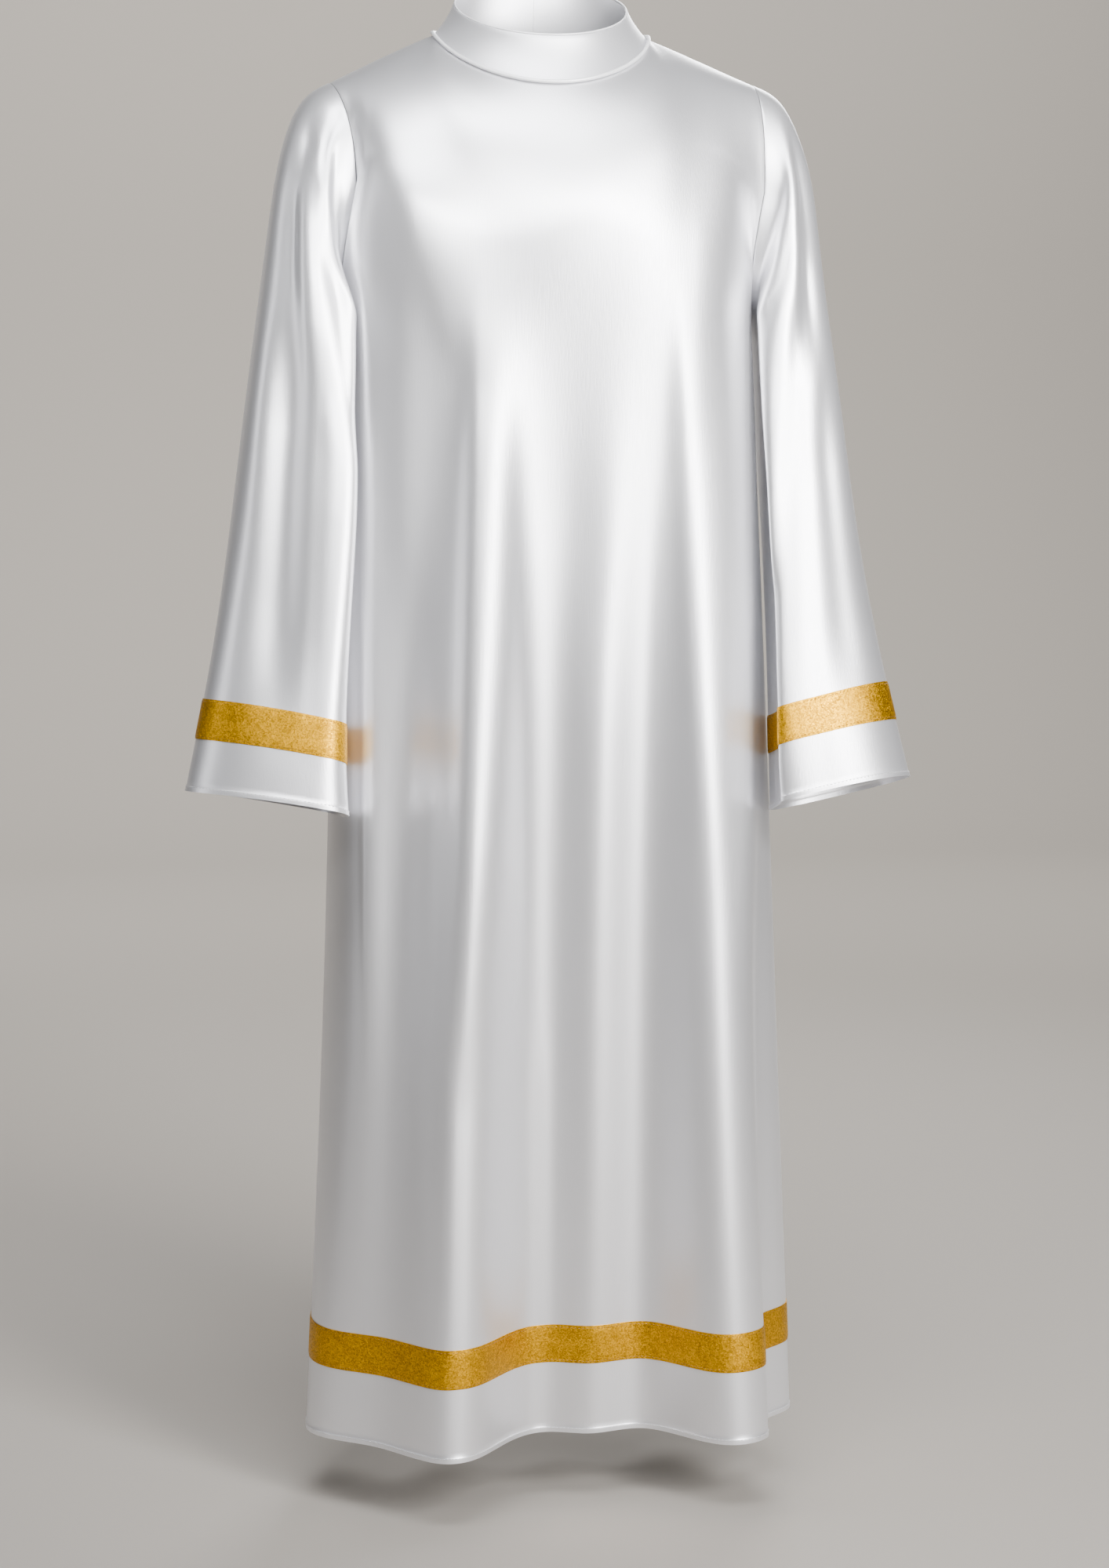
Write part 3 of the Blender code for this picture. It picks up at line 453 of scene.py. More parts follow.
def sleeve_rings(side, alongs, turns, folds=True):
    """Points of a sleeve, along it (0 at the armhole, 1 at its end) and round it in degrees."""
    table = np.array(LEFT_STATIONS if side < 0 else RIGHT_STATIONS)
    weights = spline_weights(table[:, 0], alongs)
    value = {}
    for index, name in enumerate(SLEEVE_COLUMNS):
        value[name] = (weights @ table[:, index])[:, None]
    bend = 2.0 / SLEEVE_SQUARENESS
    cosine = np.cos(np.radians(turns))[None, :]
    sine = np.sin(np.radians(turns))[None, :]
    lift = np.sign(cosine) * np.abs(cosine) ** bend
    push = np.sign(sine) * np.abs(sine) ** bend
    reach = np.where(push > 0, value["front"], value["back"])
    x = (value["outer_x"] + value["inner_x"]) / 2 + lift * (value["outer_x"] - value["inner_x"]) / 2
    z = (value["outer_z"] + value["inner_z"]) / 2 + lift * (value["outer_z"] - value["inner_z"]) / 2
    near_seam = np.maximum(1.0 - np.asarray(alongs, float) / 0.25, 0.0)[:, None]
    upper = np.clip(1.0 + lift * near_seam, 0.0, 1.0) ** 2
    inset = upper * value["front_inset"] + (1.0 - upper) * UNDERARM_INSET
    x = x - np.maximum(push, 0.0) ** 2 * inset
    z = z + push * value["tilt"]
    f = value["middle_f"] + push * reach
    points = np.stack([side * x, -f, z], axis=-1)
    if folds:
        normals = grid_normals(points, True) * -side
        points = points + normals * sleeve_fold_depth(side, alongs, turns)[..., None]
    return points


def sleeve_fold_depth(side, alongs, turns):
    """How far the folds lift a sleeve at each place along it and round it."""
    alongs = np.asarray(alongs, float)[:, None]
    turns = np.asarray(turns, float)[None, :]
    depth = np.zeros(alongs.shape[:1] + turns.shape[1:])
    for row in (LEFT_FOLDS if side < 0 else RIGHT_FOLDS):
        fold = dict(zip(FOLD_COLUMNS, row))
        share = (alongs - fold["begin"]) / (fold["end"] - fold["begin"])
        centre = fold["turn_top"] + (fold["turn_end"] - fold["turn_top"]) * np.clip(share, 0, 1)
        away = (turns - centre + 180.0) % 360.0 - 180.0
        swell = smooth_step(share * 3.5) * smooth_step((1.0 - share) * 2.5)
        depth = depth + fold["depth"] * np.exp(-(away / fold["width"]) ** 2) * swell
    return depth


def sleeve_crease_depth(side, alongs, turns):
    """The same for the finer creases."""
    alongs = np.asarray(alongs, float)[:, None]
    turns = np.asarray(turns, float)[None, :]
    depth = np.zeros(alongs.shape[:1] + turns.shape[1:])
    for row in (LEFT_SLEEVE_CREASES if side < 0 else RIGHT_SLEEVE_CREASES):
        crease = dict(zip(SLEEVE_CREASE_COLUMNS, row))
        share = (alongs - crease["begin"]) / (crease["end"] - crease["begin"])
        centre = three_place_curve(share, crease["turn_top"], crease["turn_middle"],
                                   crease["turn_end"])
        away = (turns - centre + 180.0) % 360.0 - 180.0
        slopes = slope_profile(away, crease["low"], crease["high"])
        depth = depth + crease["depth"] * slopes * faded(share)
    return depth


def sleeve_lap(side, alongs, turns):
    """Moves the front inner edge of a sleeve towards the body, where it hangs close beside it."""
    lap = dict(zip(LAP_COLUMNS, LEFT_LAP if side < 0 else RIGHT_LAP))
    along = (smooth_step((alongs - LAP_START) / LAP_RISE)
             * smooth_step((lap["end"] + LAP_FADE - alongs) / LAP_FADE))
    away = (np.asarray(turns, float)[None, :] - LAP_TURN + 180.0) % 360.0 - 180.0
    spread = np.where(away > 0.0, LAP_SPREAD_INSIDE, LAP_SPREAD_OUTSIDE)
    amount = along[:, None] * np.exp(-(away / spread) ** 2)
    moved = np.zeros(amount.shape + (3,))
    moved[..., 0] = -side * lap["toward"] * amount
    moved[..., 1] = -lap["forward"] * amount
    return moved


def three_place_curve(share, start, middle, end):
    """A smooth path through its start, its middle and its end as share goes from 0 to 1."""
    share = np.clip(share, 0.0, 1.0)
    bend = 4.0 * (middle - (start + end) / 2.0)
    return start + (end - start) * share + bend * share * (1.0 - share)


def slope_profile(away, low_width, high_width):
    """A ridge of height 1 at 0 with its own width on each side."""
    width = np.where(away < 0, low_width, high_width)
    return np.exp(-(away / width) ** 2)


def faded(share):
    """A crease's strength along it: nothing at both ends, full in between."""
    return smooth_step(share * 4.0) * smooth_step((1.0 - share) * 3.0)


def body_crease_depth(points, creases):
    """How far the creases of a table lift each point of a panel."""
    x = points[..., 0]
    z = points[..., 2]
    depth = np.zeros(x.shape)
    for row in creases:
        crease = dict(zip(BODY_CREASE_COLUMNS, row))
        share = (crease["z_top"] - z) / (crease["z_top"] - crease["z_end"])
        centre = three_place_curve(share, crease["x_top"], crease["x_middle"], crease["x_end"])
        slopes = slope_profile(x - centre, crease["left"], crease["right"])
        depth += crease["depth"] * slopes * faded(share)
    return depth


def chest_swell_depth(points, front):
    """The soft fullness of the chest: most at the line where the cloth starts to hang straight."""
    x = points[..., 0]
    z = points[..., 2]
    if front:
        table = np.array(CHEST_FALL)
        held = np.clip(x.ravel(), -CHEST_FALL_REACH, CHEST_FALL_REACH)
        line = (spline_weights(table[:, 0], held) @ table[:, 1]).reshape(x.shape)
        height = CHEST_SWELL
    else:
        line = np.full(x.shape, BACK_FALL_Z)
        height = BACK_SWELL
    width = np.where(z > line, CHEST_SWELL_ABOVE, CHEST_SWELL_BELOW)
    sides = smooth_step((CHEST_SWELL_SIDE - np.abs(x)) / CHEST_SWELL_FADE)
    return height * np.exp(-((z - line) / width) ** 2) * sides


def edge_fullness_depth(points):
    """How far the front's right edge stands out."""
    x = points[..., 0]
    z = points[..., 2]
    down = (smooth_step((EDGE_TOP_Z - z) / EDGE_TOP_FADE)
            * smooth_step((z - EDGE_END_Z) / EDGE_END_FADE))
    return EDGE_FULLNESS * np.exp(-((x - EDGE_X) / EDGE_WIDTH) ** 2) * down


def run_along(line):
    """Distance along a line of points to each of them."""
    steps = np.linalg.norm(np.diff(line, axis=0), axis=1)
    return np.concatenate([[0.0], np.cumsum(steps)])


def evening_weights(run, width):
    """Rows of weights that even out values at the places of run over a width."""
    near = np.exp(-((run[:, None] - run[None, :]) / width) ** 2) * np.gradient(run)[None, :]
    return near / near.sum(axis=1, keepdims=True)


def softened_join(points):
    """Evens out the rows round the chest line, so that no line shows across the cloth."""
    run = run_along(points[:, points.shape[1] // 2])
    soft = np.einsum("rs,scd->rcd", evening_weights(run, JOIN_SOFTNESS), points)
    away = (run - run[UPPER_ROWS]) / (JOIN_REACH * JOIN_SOFTNESS)
    blend = np.exp(-away ** 4)[:, None, None]
    return points * (1.0 - blend) + soft * blend


def softened_neck_lines(points, across):
    """Evens out the columns that start where the neck meets the shoulder seams."""
    made = points.copy()
    run = run_along(points[:, points.shape[1] // 2])
    keep = smooth_step((1.0 - np.abs(across)) / NECK_LINE_SIDES)[:, None]
    last = UPPER_ROWS + NECK_LINE_ROWS
    for row in range(1, last):
        width = (min(NECK_LINE_SOFTNESS, NECK_LINE_START * run[row])
                 * smooth_step((last - row) / NECK_LINE_ROWS))
        if width < NECK_LINE_LEAST:
            continue
        line = points[row]
        soft = evening_weights(run_along(line), width) @ line
        made[row] = line * (1.0 - keep) + soft * keep
    return made


def armhole(side, shares, front):
    """The armhole's edge from the shoulder tip (0) to the underarm (1)."""
    turns = 180.0 * np.asarray(shares, float)
    if not front:
        turns = 360.0 - turns
    return sleeve_rings(side, [0.0], turns, folds=False)[0]


def chest_girths(across, front):
    """Distance round the body for columns that run -1 to 1 across the front, or the back."""
    knots, total = girth_knots()
    side = knots[SIDE_RIGHT_LINE]
    centre = knots[CENTRE_BACK_LINE]
    across = np.asarray(across, float)
    if front:
        return side * (across + 1.0) / 2.0
    right = centre + (side - centre) * np.clip(across, 0.0, 1.0)
    left = centre + (total - centre) * np.clip(-across, 0.0, 1.0)
    return np.where(across >= 0, right, left)


def upper_panel(across, shares, front):
    """The front or back above the chest: rows from the shoulders (0) to the chest (1)."""
    across = np.asarray(across, float)
    shares = np.asarray(shares, float)
    facing = -1.0 if front else 1.0
    top = top_edge(across, front)
    girths = chest_girths(across, front)
    chest, below = body_rings([CHEST_Z, CHEST_Z - 0.02], girths)
    upward = unit(chest - below)
    span = np.linalg.norm(chest - top, axis=1)[:, None]
    from_neck = np.clip(np.abs(across) / NECK_SHARE, 0.0, 1.0)
    to_tip = np.clip((np.abs(across) - NECK_SHARE) / (1.0 - NECK_SHARE), 0.0, 1.0)
    slant = NECK_SLANT + (SIDE_NECK_SLANT - NECK_SLANT) * smooth_step(from_neck)
    slant = np.radians(slant + (TIP_SLANT - SIDE_NECK_SLANT) * smooth_step(to_tip))
    splay = NECK_SPLAY * np.sin(from_neck * math.pi / 2) * (1.0 - smooth_step(to_tip))
    splay = splay * np.sign(across)
    leave = unit(np.stack([splay * np.cos(slant), facing * np.cos(slant), -np.sin(slant)], axis=1))
    first = evened(top + leave * span * SHOULDER_SPRING, across)
    second = chest + upward * span * CHEST_SPRING
    s = shares[:, None, None]
    points = ((1 - s) ** 3 * top + 3 * s * (1 - s) ** 2 * first
              + 3 * s ** 2 * (1 - s) * second + s ** 3 * chest)
    for side, end in ((-1.0, 0), (1.0, -1)):
        missing = armhole(side, shares, front) - points[:, end]
        near = np.maximum(side * across, 0.0) ** 4
        points = points + missing[:, None, :] * near[None, :, None]
    return points


def evened(points, across):
    """Softens the corner at the neck points, so that it fades quickly below them."""
    soft = evening_weights(across, NECK_SOFTNESS) @ points
    keep = np.abs(across)[:, None] ** 4
    return points * keep + soft * (1.0 - keep)


def grid_normals(points, closed):
    """Unit normals of a grid of points, on the side that rows x columns point to."""
    wide = np.concatenate([points, points[:, :1]], axis=1) if closed else points
    falling = wide[1:, :-1] - wide[:-1, 1:]
    rising = wide[1:, 1:] - wide[:-1, :-1]
    cells = np.cross(falling, rising)
    edge = cells[:, -1:] if closed else np.zeros_like(cells[:, :1])
    cells = np.concatenate([edge, cells] if closed else [edge, cells, edge], axis=1)
    cells = np.pad(cells, ((1, 1), (0, 0), (0, 0)))
    return unit(cells[:-1, :-1] + cells[1:, :-1] + cells[:-1, 1:] + cells[1:, 1:])


def panel_columns():
    """Places across a panel, -1 to 1, closer together at the neck."""
    shoulder = np.linspace(1.0, NECK_SHARE, SHOULDER_COLUMNS + 1)
    neck = np.linspace(-NECK_SHARE, NECK_SHARE, NECK_COLUMNS + 1)
    return np.concatenate([-shoulder[:-1], neck, shoulder[::-1][1:]])


def lower_heights():
    """Heights of the rows below the chest, with rows of their own for the band and the hem."""
    band_low = HEM_Z + HEM_BAND_RISE
    band_high = band_low + BAND_WIDTH
    above = np.linspace(CHEST_Z, band_high, LOWER_ROWS + 1)[1:]
    band = np.linspace(band_high, band_low, BAND_ROWS + 1)[1:]
    below = np.linspace(band_low, HEM_Z + HEM_TURNING + TURNING_STEP, ROWS_BELOW_HEM_BAND + 1)[1:]
    turning = HEM_Z + HEM_TURNING * np.array(TURNING_SHARES)
    return np.concatenate([above, band, below, turning])


def turning_rise(distance):
    """How far the turned hem stands proud, at a distance up from the edge."""
    return TURNING_RISE * smooth_step((HEM_TURNING + TURNING_STEP - distance) / (2 * TURNING_STEP))


def panel_grid(front):
    """Rows from the shoulders to the hem, with the fine creases on them, and their normals."""
    across = panel_columns()
    shares = np.linspace(0.0, 1.0, UPPER_ROWS + 1)
    heights = lower_heights()
    upper = upper_panel(across, shares, front)
    lower = body_rings(heights, chest_girths(across, front))
    points = softened_join(np.concatenate([upper, lower], axis=0))
    points = softened_neck_lines(points, across)
    facing = 1.0 if front else -1.0
    normals = grid_normals(points, False) * facing
    depth = body_crease_depth(points, FRONT_CREASES if front else BACK_CREASES)
    depth = depth + chest_swell_depth(points, front)
    if front:
        depth = depth + edge_fullness_depth(points)
    edges = smooth_step((1.0 - np.abs(across)) / CREASE_SIDE_FADE)[None, :]
    down = np.concatenate([smooth_step(shares / CREASE_TOP_FADE), np.ones(len(heights))])[:, None]
    points = points + normals * (depth * edges * down)[..., None]
    rise = turning_rise(np.maximum(points[..., 2] - HEM_Z, 0.0))
    normals = grid_normals(points, False) * facing
    points = points + normals * rise[..., None]
    return points, normals


def sleeve_grid(side):
    """Rings from the armhole to the sleeve's end, with the creases on them, and their normals."""
    rise = CUFF_BAND_RISE_LEFT if side < 0 else CUFF_BAND_RISE_RIGHT
    band_low = 1.0 - rise / SLEEVE_LENGTH
    band_high = band_low - BAND_WIDTH / SLEEVE_LENGTH
    turning = HEM_TURNING / SLEEVE_LENGTH
    above = np.linspace(0.0, 1.0, SLEEVE_RINGS + 1) ** SLEEVE_CROWDING * band_high
    band = np.linspace(band_high, band_low, BAND_ROWS + 1)[1:]
    below = np.linspace(band_low, 1.0 - turning * 1.12, RINGS_BELOW_CUFF_BAND + 1)[1:]
    edge = 1.0 - turning * np.array(TURNING_SHARES)
    alongs = np.concatenate([above, band, below, edge])
    turns = np.arange(SLEEVE_TURNS) * 360.0 / SLEEVE_TURNS
    points = sleeve_rings(side, alongs, turns)
    normals = grid_normals(points, True) * -side
    at_seam = smooth_step(alongs / 0.03)[:, None]
    depth = sleeve_crease_depth(side, alongs, turns) * at_seam
    points = points + normals * depth[..., None] + sleeve_lap(side, alongs, turns)
    normals = grid_normals(points, True) * -side
    proud = turning_rise((1.0 - alongs) * SLEEVE_LENGTH)
    points = points + normals * proud[:, None, None]
    points[..., 0] += side * SLEEVE_CLEARANCE
    return points, normals


def make_piece(name, points, faces, look, nodes=()):
    """One piece of the robe, which stands for the named nodes."""
    mesh = bpy.data.meshes.new(name)
    mesh.from_pydata(points.tolist(), [], faces)
    mesh.update()
    mesh.materials.append(look)
    piece = bpy.data.objects.new(name, mesh)
    bpy.context.scene.collection.objects.link(piece)
    mesh.shade_smooth()
    mesh.set_sharp_from_angle(angle=math.radians(SHARP_EDGE))
    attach(piece, "root")
    if nodes:
        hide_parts(*nodes)
    return piece


def wall_faces(rows, columns, closed, flip):
    """Faces of a closed wall: an outer grid, then an inner grid, joined round their edges."""
    last = columns if closed else columns - 1
    behind = rows * columns
    row, column = np.meshgrid(np.arange(rows - 1), np.arange(last), indexing="ij")
    row = row.ravel()
    column = column.ravel()
    after = (column + 1) % columns
    a = row * columns + column
    b = (row + 1) * columns + column
    c = (row + 1) * columns + after
    d = row * columns + after
    outer = np.stack([a, b, c, d], axis=1)
    inner = np.stack([a, d, c, b], axis=1) + behind
    column = np.arange(last)
    after = (column + 1) % columns
    end = (rows - 1) * columns
    top = np.stack([column, after, after + behind, column + behind], axis=1)
    low = np.stack([end + column, end + column + behind, end + after + behind, end + after], axis=1)
    sheets = [outer, inner, top, low]
    if not closed:
        row = np.arange(rows - 1) * columns
        first = np.stack([row, row + behind, row + columns + behind, row + columns], axis=1)
        row = row + columns - 1
        final = np.stack([row, row + columns, row + columns + behind, row + behind], axis=1)
        sheets += [first, final]
    faces = np.concatenate(sheets)
    if flip:
        faces = faces[:, ::-1]
    return faces.tolist()


def cloth_wall(name, outer, normals, thickness, closed, flip, look, nodes=()):
    """A closed wall of cloth with its outer face on the grid."""
    inner = outer - normals * thickness
    points = np.concatenate([outer.reshape(-1, 3), inner.reshape(-1, 3)])
    faces = wall_faces(outer.shape[0], outer.shape[1], closed, flip)
    return make_piece(name, points, faces, look, nodes)


def dipped_seams(points, normals):
    """Draws the edges that are sewn slightly in, so that a seam shows as a soft line."""
    made = points.copy()
    for column in (0, -1):
        made[:, column] -= normals[:, column] * SEAM_DIP
    made[0] -= normals[0] * SEAM_DIP
    return made


def mitred_shoulders(normals, across):
    """Stands the wall's edge upright along the shoulder seams, where front and back meet."""
    made = normals.copy()
    seam = np.abs(across) > NECK_SHARE
    edge = made[0, seam]
    edge[:, 1] = 0.0
    made[0, seam] = unit(edge)
    return made


def pull_in(points, amount, row=None, column=None):
    """Moves one edge row or column of a grid towards its neighbour."""
    if row is not None:
        near = 1 if row == 0 else -2
        points[row] += unit(points[near] - points[row]) * amount
    else:
        near = 1 if column == 0 else -2
        points[:, column] += unit(points[:, near] - points[:, column]) * amount


def gold_band(name, points, normals, closed, flip, look, nodes):
    """A flat band on the cloth: its rows are the cloth's own, moved out, with soft edges."""
    across = np.linspace(0.0, 1.0, points.shape[0])
    swell = np.minimum(smooth_step(across / 0.08), smooth_step((1.0 - across) / 0.08))
    out = SEAM_GAP + BAND_CLOTH * (0.55 + 0.45 * swell)
    outer = points + normals * out[:, None, None]
    thick = (out - 0.5 * SEAM_GAP)[:, None, None]
    return cloth_wall(name, outer, normals, thick, closed, flip, look, nodes), outer


def stitch_row(name, path, normals, closed, look):
    """A row of sewing stitches along a line on the cloth, each a small slim bead of thread."""
    if closed:
        path = np.concatenate([path, path[:1]])
        normals = np.concatenate([normals, normals[:1]])
    run = run_along(path)
    count = int(run[-1] / STITCH_PITCH)
    middles = (np.arange(count) + 0.5) * run[-1] / count

    def at(places, values):
        """Values at places along the line."""
        return np.stack([np.interp(places, run, values[:, k]) for k in range(3)], axis=1)

    start = at(middles - STITCH_LENGTH / 2, path)
    end = at(middles + STITCH_LENGTH / 2, path)
    centre = at(middles, path)
    out = unit(at(middles, normals))
    aside = unit(np.cross(end - start, out))
    beads = np.stack([
        start,
        centre + aside * STITCH_WIDTH / 2,
        centre + out * STITCH_WIDTH * 0.55,
        centre - aside * STITCH_WIDTH / 2,
        centre - out * STITCH_WIDTH * 0.30,
        end,
    ], axis=1)
    shape = np.array([(0, 2, 1), (0, 3, 2), (0, 4, 3), (0, 1, 4),
                      (5, 1, 2), (5, 2, 3), (5, 3, 4), (5, 4, 1)])
    faces = (np.arange(count)[:, None, None] * 6 + shape[None]).reshape(-1, 3)
    return make_piece(name, beads.reshape(-1, 3), faces.tolist(), look)


def roll(name, path, sides_out, sides_up, radius, sides, look, nodes):
    """A thin round roll along a path that ends where it began."""
    angles = np.arange(sides) * 2.0 * math.pi / sides
    points = (path[:, None] + radius * (np.cos(angles)[None, :, None] * sides_out[:, None]
                                        + np.sin(angles)[None, :, None] * sides_up[:, None]))
    count = len(path)
    ring, spot = np.meshgrid(np.arange(count), np.arange(sides), indexing="ij")
    ring = ring.ravel()
    spot = spot.ravel()
    following = (ring + 1) % count
    after = (spot + 1) % sides
    faces = np.stack([ring * sides + spot, ring * sides + after,
                      following * sides + after, following * sides + spot], axis=1)
    return make_piece(name, points.reshape(-1, 3), faces.tolist(), look, nodes)


def collar_grid(turns, shares):
    """The stand collar round the neck: turn 0 is the centre front and 180 the centre back."""
    turns = np.asarray(turns, float)
    folded = (turns + 180.0) % 360.0 - 180.0
    is_front = np.abs(folded) <= 90.0
    back_turn = np.sign(folded) * (180.0 - np.abs(folded))
    low = np.where(is_front[:, None], neck_point(folded, True), neck_point(back_turn, False))
    reach = np.cos(np.radians(turns))
    f = np.where(is_front, COLLAR_TOP_FRONT, COLLAR_TOP_BACK) * reach
    x = COLLAR_TOP_HALF_WIDTH * np.sin(np.radians(turns))
    high = np.stack([x, -f, COLLAR_TOP_Z - COLLAR_TOP_SLOPE * f], axis=-1)
    s = np.asarray(shares, float)[:, None, None]
    grid = high * (1 - s) + low * s
    bow = COLLAR_BOW * 4 * s * (1 - s)
    outward = unit(low * np.array([1.0, 1.0, 0.0]))
    return grid - bow * outward


# Finishes.

def added(nodes, kind, **values):
    """A new shader node with some of its inputs set. In their names _ stands for a space."""
    node = nodes.new("ShaderNode" + kind)
    set_values(node, **values)
    return node


def set_values(node, **values):
    """Sets inputs of a shader node."""
    for name, value in values.items():
        node.inputs[name.replace("_", " ")].default_value = value


def new_finish(name):
    """A new material's nodes, links and main shader, after the material itself."""
    look = bpy.data.materials.new(name)
    look.use_nodes = True
    tree = look.node_tree
    return look, tree.nodes, tree.links, tree.nodes["Principled BSDF"]


def woven_threads_group():
    """Fine threads that run down the cloth, with a softer unevenness under them."""
    group = bpy.data.node_groups.new("woven threads", "ShaderNodeTree")
    sockets = group.interface
    for name, default in (("Threads", 900.0), ("Length", 0.06), ("Patch", 22.0)):
        made = sockets.new_socket(name=name, in_out="INPUT", socket_type="NodeSocketFloat")
        made.default_value = default
    for name in ("Height", "Patches"):
        sockets.new_socket(name=name, in_out="OUTPUT", socket_type="NodeSocketFloat")
    nodes = group.nodes
    links = group.links
    given = nodes.new("NodeGroupInput").outputs
    result = nodes.new("NodeGroupOutput").inputs
    place = added(nodes, "TexCoord").outputs["Object"]
    stretch = added(nodes, "CombineXYZ", X=1.0, Y=1.0)
    links.new(given["Length"], stretch.inputs["Z"])
    longer = added(nodes, "VectorMath")
    longer.operation = "MULTIPLY"
    links.new(place, longer.inputs[0])
    links.new(stretch.outputs["Vector"], longer.inputs[1])
    threads = added(nodes, "TexNoise", Detail=2.0)
    links.new(longer.outputs["Vector"], threads.inputs["Vector"])
    links.new(given["Threads"], threads.inputs["Scale"])
    patches = added(nodes, "TexNoise", Detail=3.0)
    links.new(place, patches.inputs["Vector"])
    links.new(given["Patch"], patches.inputs["Scale"])
    links.new(threads.outputs["Fac"], result["Height"])
    links.new(patches.outputs["Fac"], result["Patches"])
    return group


def finish_tone(nodes, links, shader, factor, low, high):
    """Blends the base colour from low to high by a factor."""
    tone = nodes.new("ShaderNodeMix")
    tone.data_type = "RGBA"
    tone.inputs["A"].default_value = (*low, 1.0)
    tone.inputs["B"].default_value = (*high, 1.0)
    links.new(factor, tone.inputs["Factor"])
    links.new(tone.outputs["Result"], shader.inputs["Base Color"])


def finish_surface(nodes, links, shader, uneven, low, high, height, distance, strength):
    """Varies the roughness from low to high, and raises a fine relief."""
    rough = added(nodes, "MapRange", To_Min=low, To_Max=high)
    links.new(uneven, rough.inputs["Value"])
    links.new(rough.outputs["Result"], shader.inputs["Roughness"])
    bump = added(nodes, "Bump", Distance=distance, Strength=strength)
    links.new(height, bump.inputs["Height"])
    links.new(bump.outputs["Normal"], shader.inputs["Normal"])


def satin_finish(threads_group, name, bright, shade, roughness, depth, gloss):
    """Satin or thread: a soft tone, a fine weave and a share of metallic gloss."""
    look, nodes, links, shader = new_finish(name)
    weave = nodes.new("ShaderNodeGroup")
    weave.node_tree = threads_group
    finish_tone(nodes, links, shader, weave.outputs["Patches"], shade, bright)
    height = weave.outputs["Height"]
    finish_surface(nodes, links, shader, height, roughness - 0.05, roughness + 0.05,
                   height, depth, 0.6)
    set_values(shader, Metallic=gloss, Sheen_Weight=0.08, Sheen_Roughness=0.4,
               Specular_IOR_Level=0.6)
    return look


def gold_finish(threads_group):
    """Gold cloth with a fine glitter of small flakes."""
    look, nodes, links, shader = new_finish("gold glitter cloth")
    weave = nodes.new("ShaderNodeGroup")
    weave.node_tree = threads_group
    set_values(weave, Threads=1400.0, Length=1.0, Patch=60.0)
    flakes = added(nodes, "TexVoronoi", Scale=800.0)
    links.new(added(nodes, "TexCoord").outputs["Object"], flakes.inputs["Vector"])
    spread = added(nodes, "SeparateColor")
    links.new(flakes.outputs["Color"], spread.inputs["Color"])
    half = added(nodes, "Math")
    half.operation = "MULTIPLY"
    half.inputs[1].default_value = 0.3
    links.new(weave.outputs["Patches"], half.inputs[0])
    blend = added(nodes, "Math")
    blend.operation = "MULTIPLY_ADD"
    blend.inputs[1].default_value = 0.75
    links.new(spread.outputs["Red"], blend.inputs[0])
    links.new(half.outputs["Value"], blend.inputs[2])
    finish_tone(nodes, links, shader, blend.outputs["Value"], GOLD_DEEP, GOLD_BRIGHT)
    finish_surface(nodes, links, shader, spread.outputs["Green"], 0.36, 0.62,
                   spread.outputs["Blue"], 0.0004, 0.7)
    set_values(shader, Metallic=1.0)
    return look


def stage_finish(name, colour):
    """A plain matt finish."""
    look = bpy.data.materials.new(name)
    look.use_nodes = True
    shader = look.node_tree.nodes["Principled BSDF"]
    set_values(shader, Base_Color=(*colour, 1.0), Roughness=0.9)
    return look


# Camera, floor and light.

def set_camera():
    """The camera in front of the robe, turned and dipped a little."""
    turn = math.radians(CAMERA_TURN)
    dip = math.radians(CAMERA_DIP)
    right = Vector((math.cos(turn), -math.sin(turn), 0.0))
    toward = Vector((-math.sin(turn), -math.cos(turn), 0.0))
    place = toward * CAMERA_DISTANCE + right * CAMERA_SHIFT_RIGHT
    place = place + Vector((0.0, 0.0, CAMERA_HEIGHT))
    ahead = -toward * math.cos(dip) + Vector((0.0, 0.0, -math.sin(dip)))
    up = right.cross(ahead)
    data = bpy.data.cameras.new("view")
    data.sensor_fit = "VERTICAL"
    data.sensor_height = SENSOR_HEIGHT
    data.lens = LENS
    camera = bpy.data.objects.new("view", data)
    bpy.context.scene.collection.objects.link(camera)
    facing = Matrix((right, up, -ahead)).transposed().to_4x4()
    camera.matrix_world = Matrix.Translation(place) @ facing
    bpy.context.scene.camera = camera


def add_light(name, place, aim, width, height, power, spread, colour):
    """A soft rectangular light."""
    data = bpy.data.lights.new(name, "AREA")
    data.shape = "RECTANGLE"
    data.size = width
    data.size_y = height
    data.energy = power
    data.spread = math.radians(spread)
    data.color = colour
    light = bpy.data.objects.new(name, data)
    light.location = place
    light.rotation_euler = (Vector(aim) - Vector(place)).to_track_quat("-Z", "Y").to_euler()
    bpy.context.scene.collection.objects.link(light)


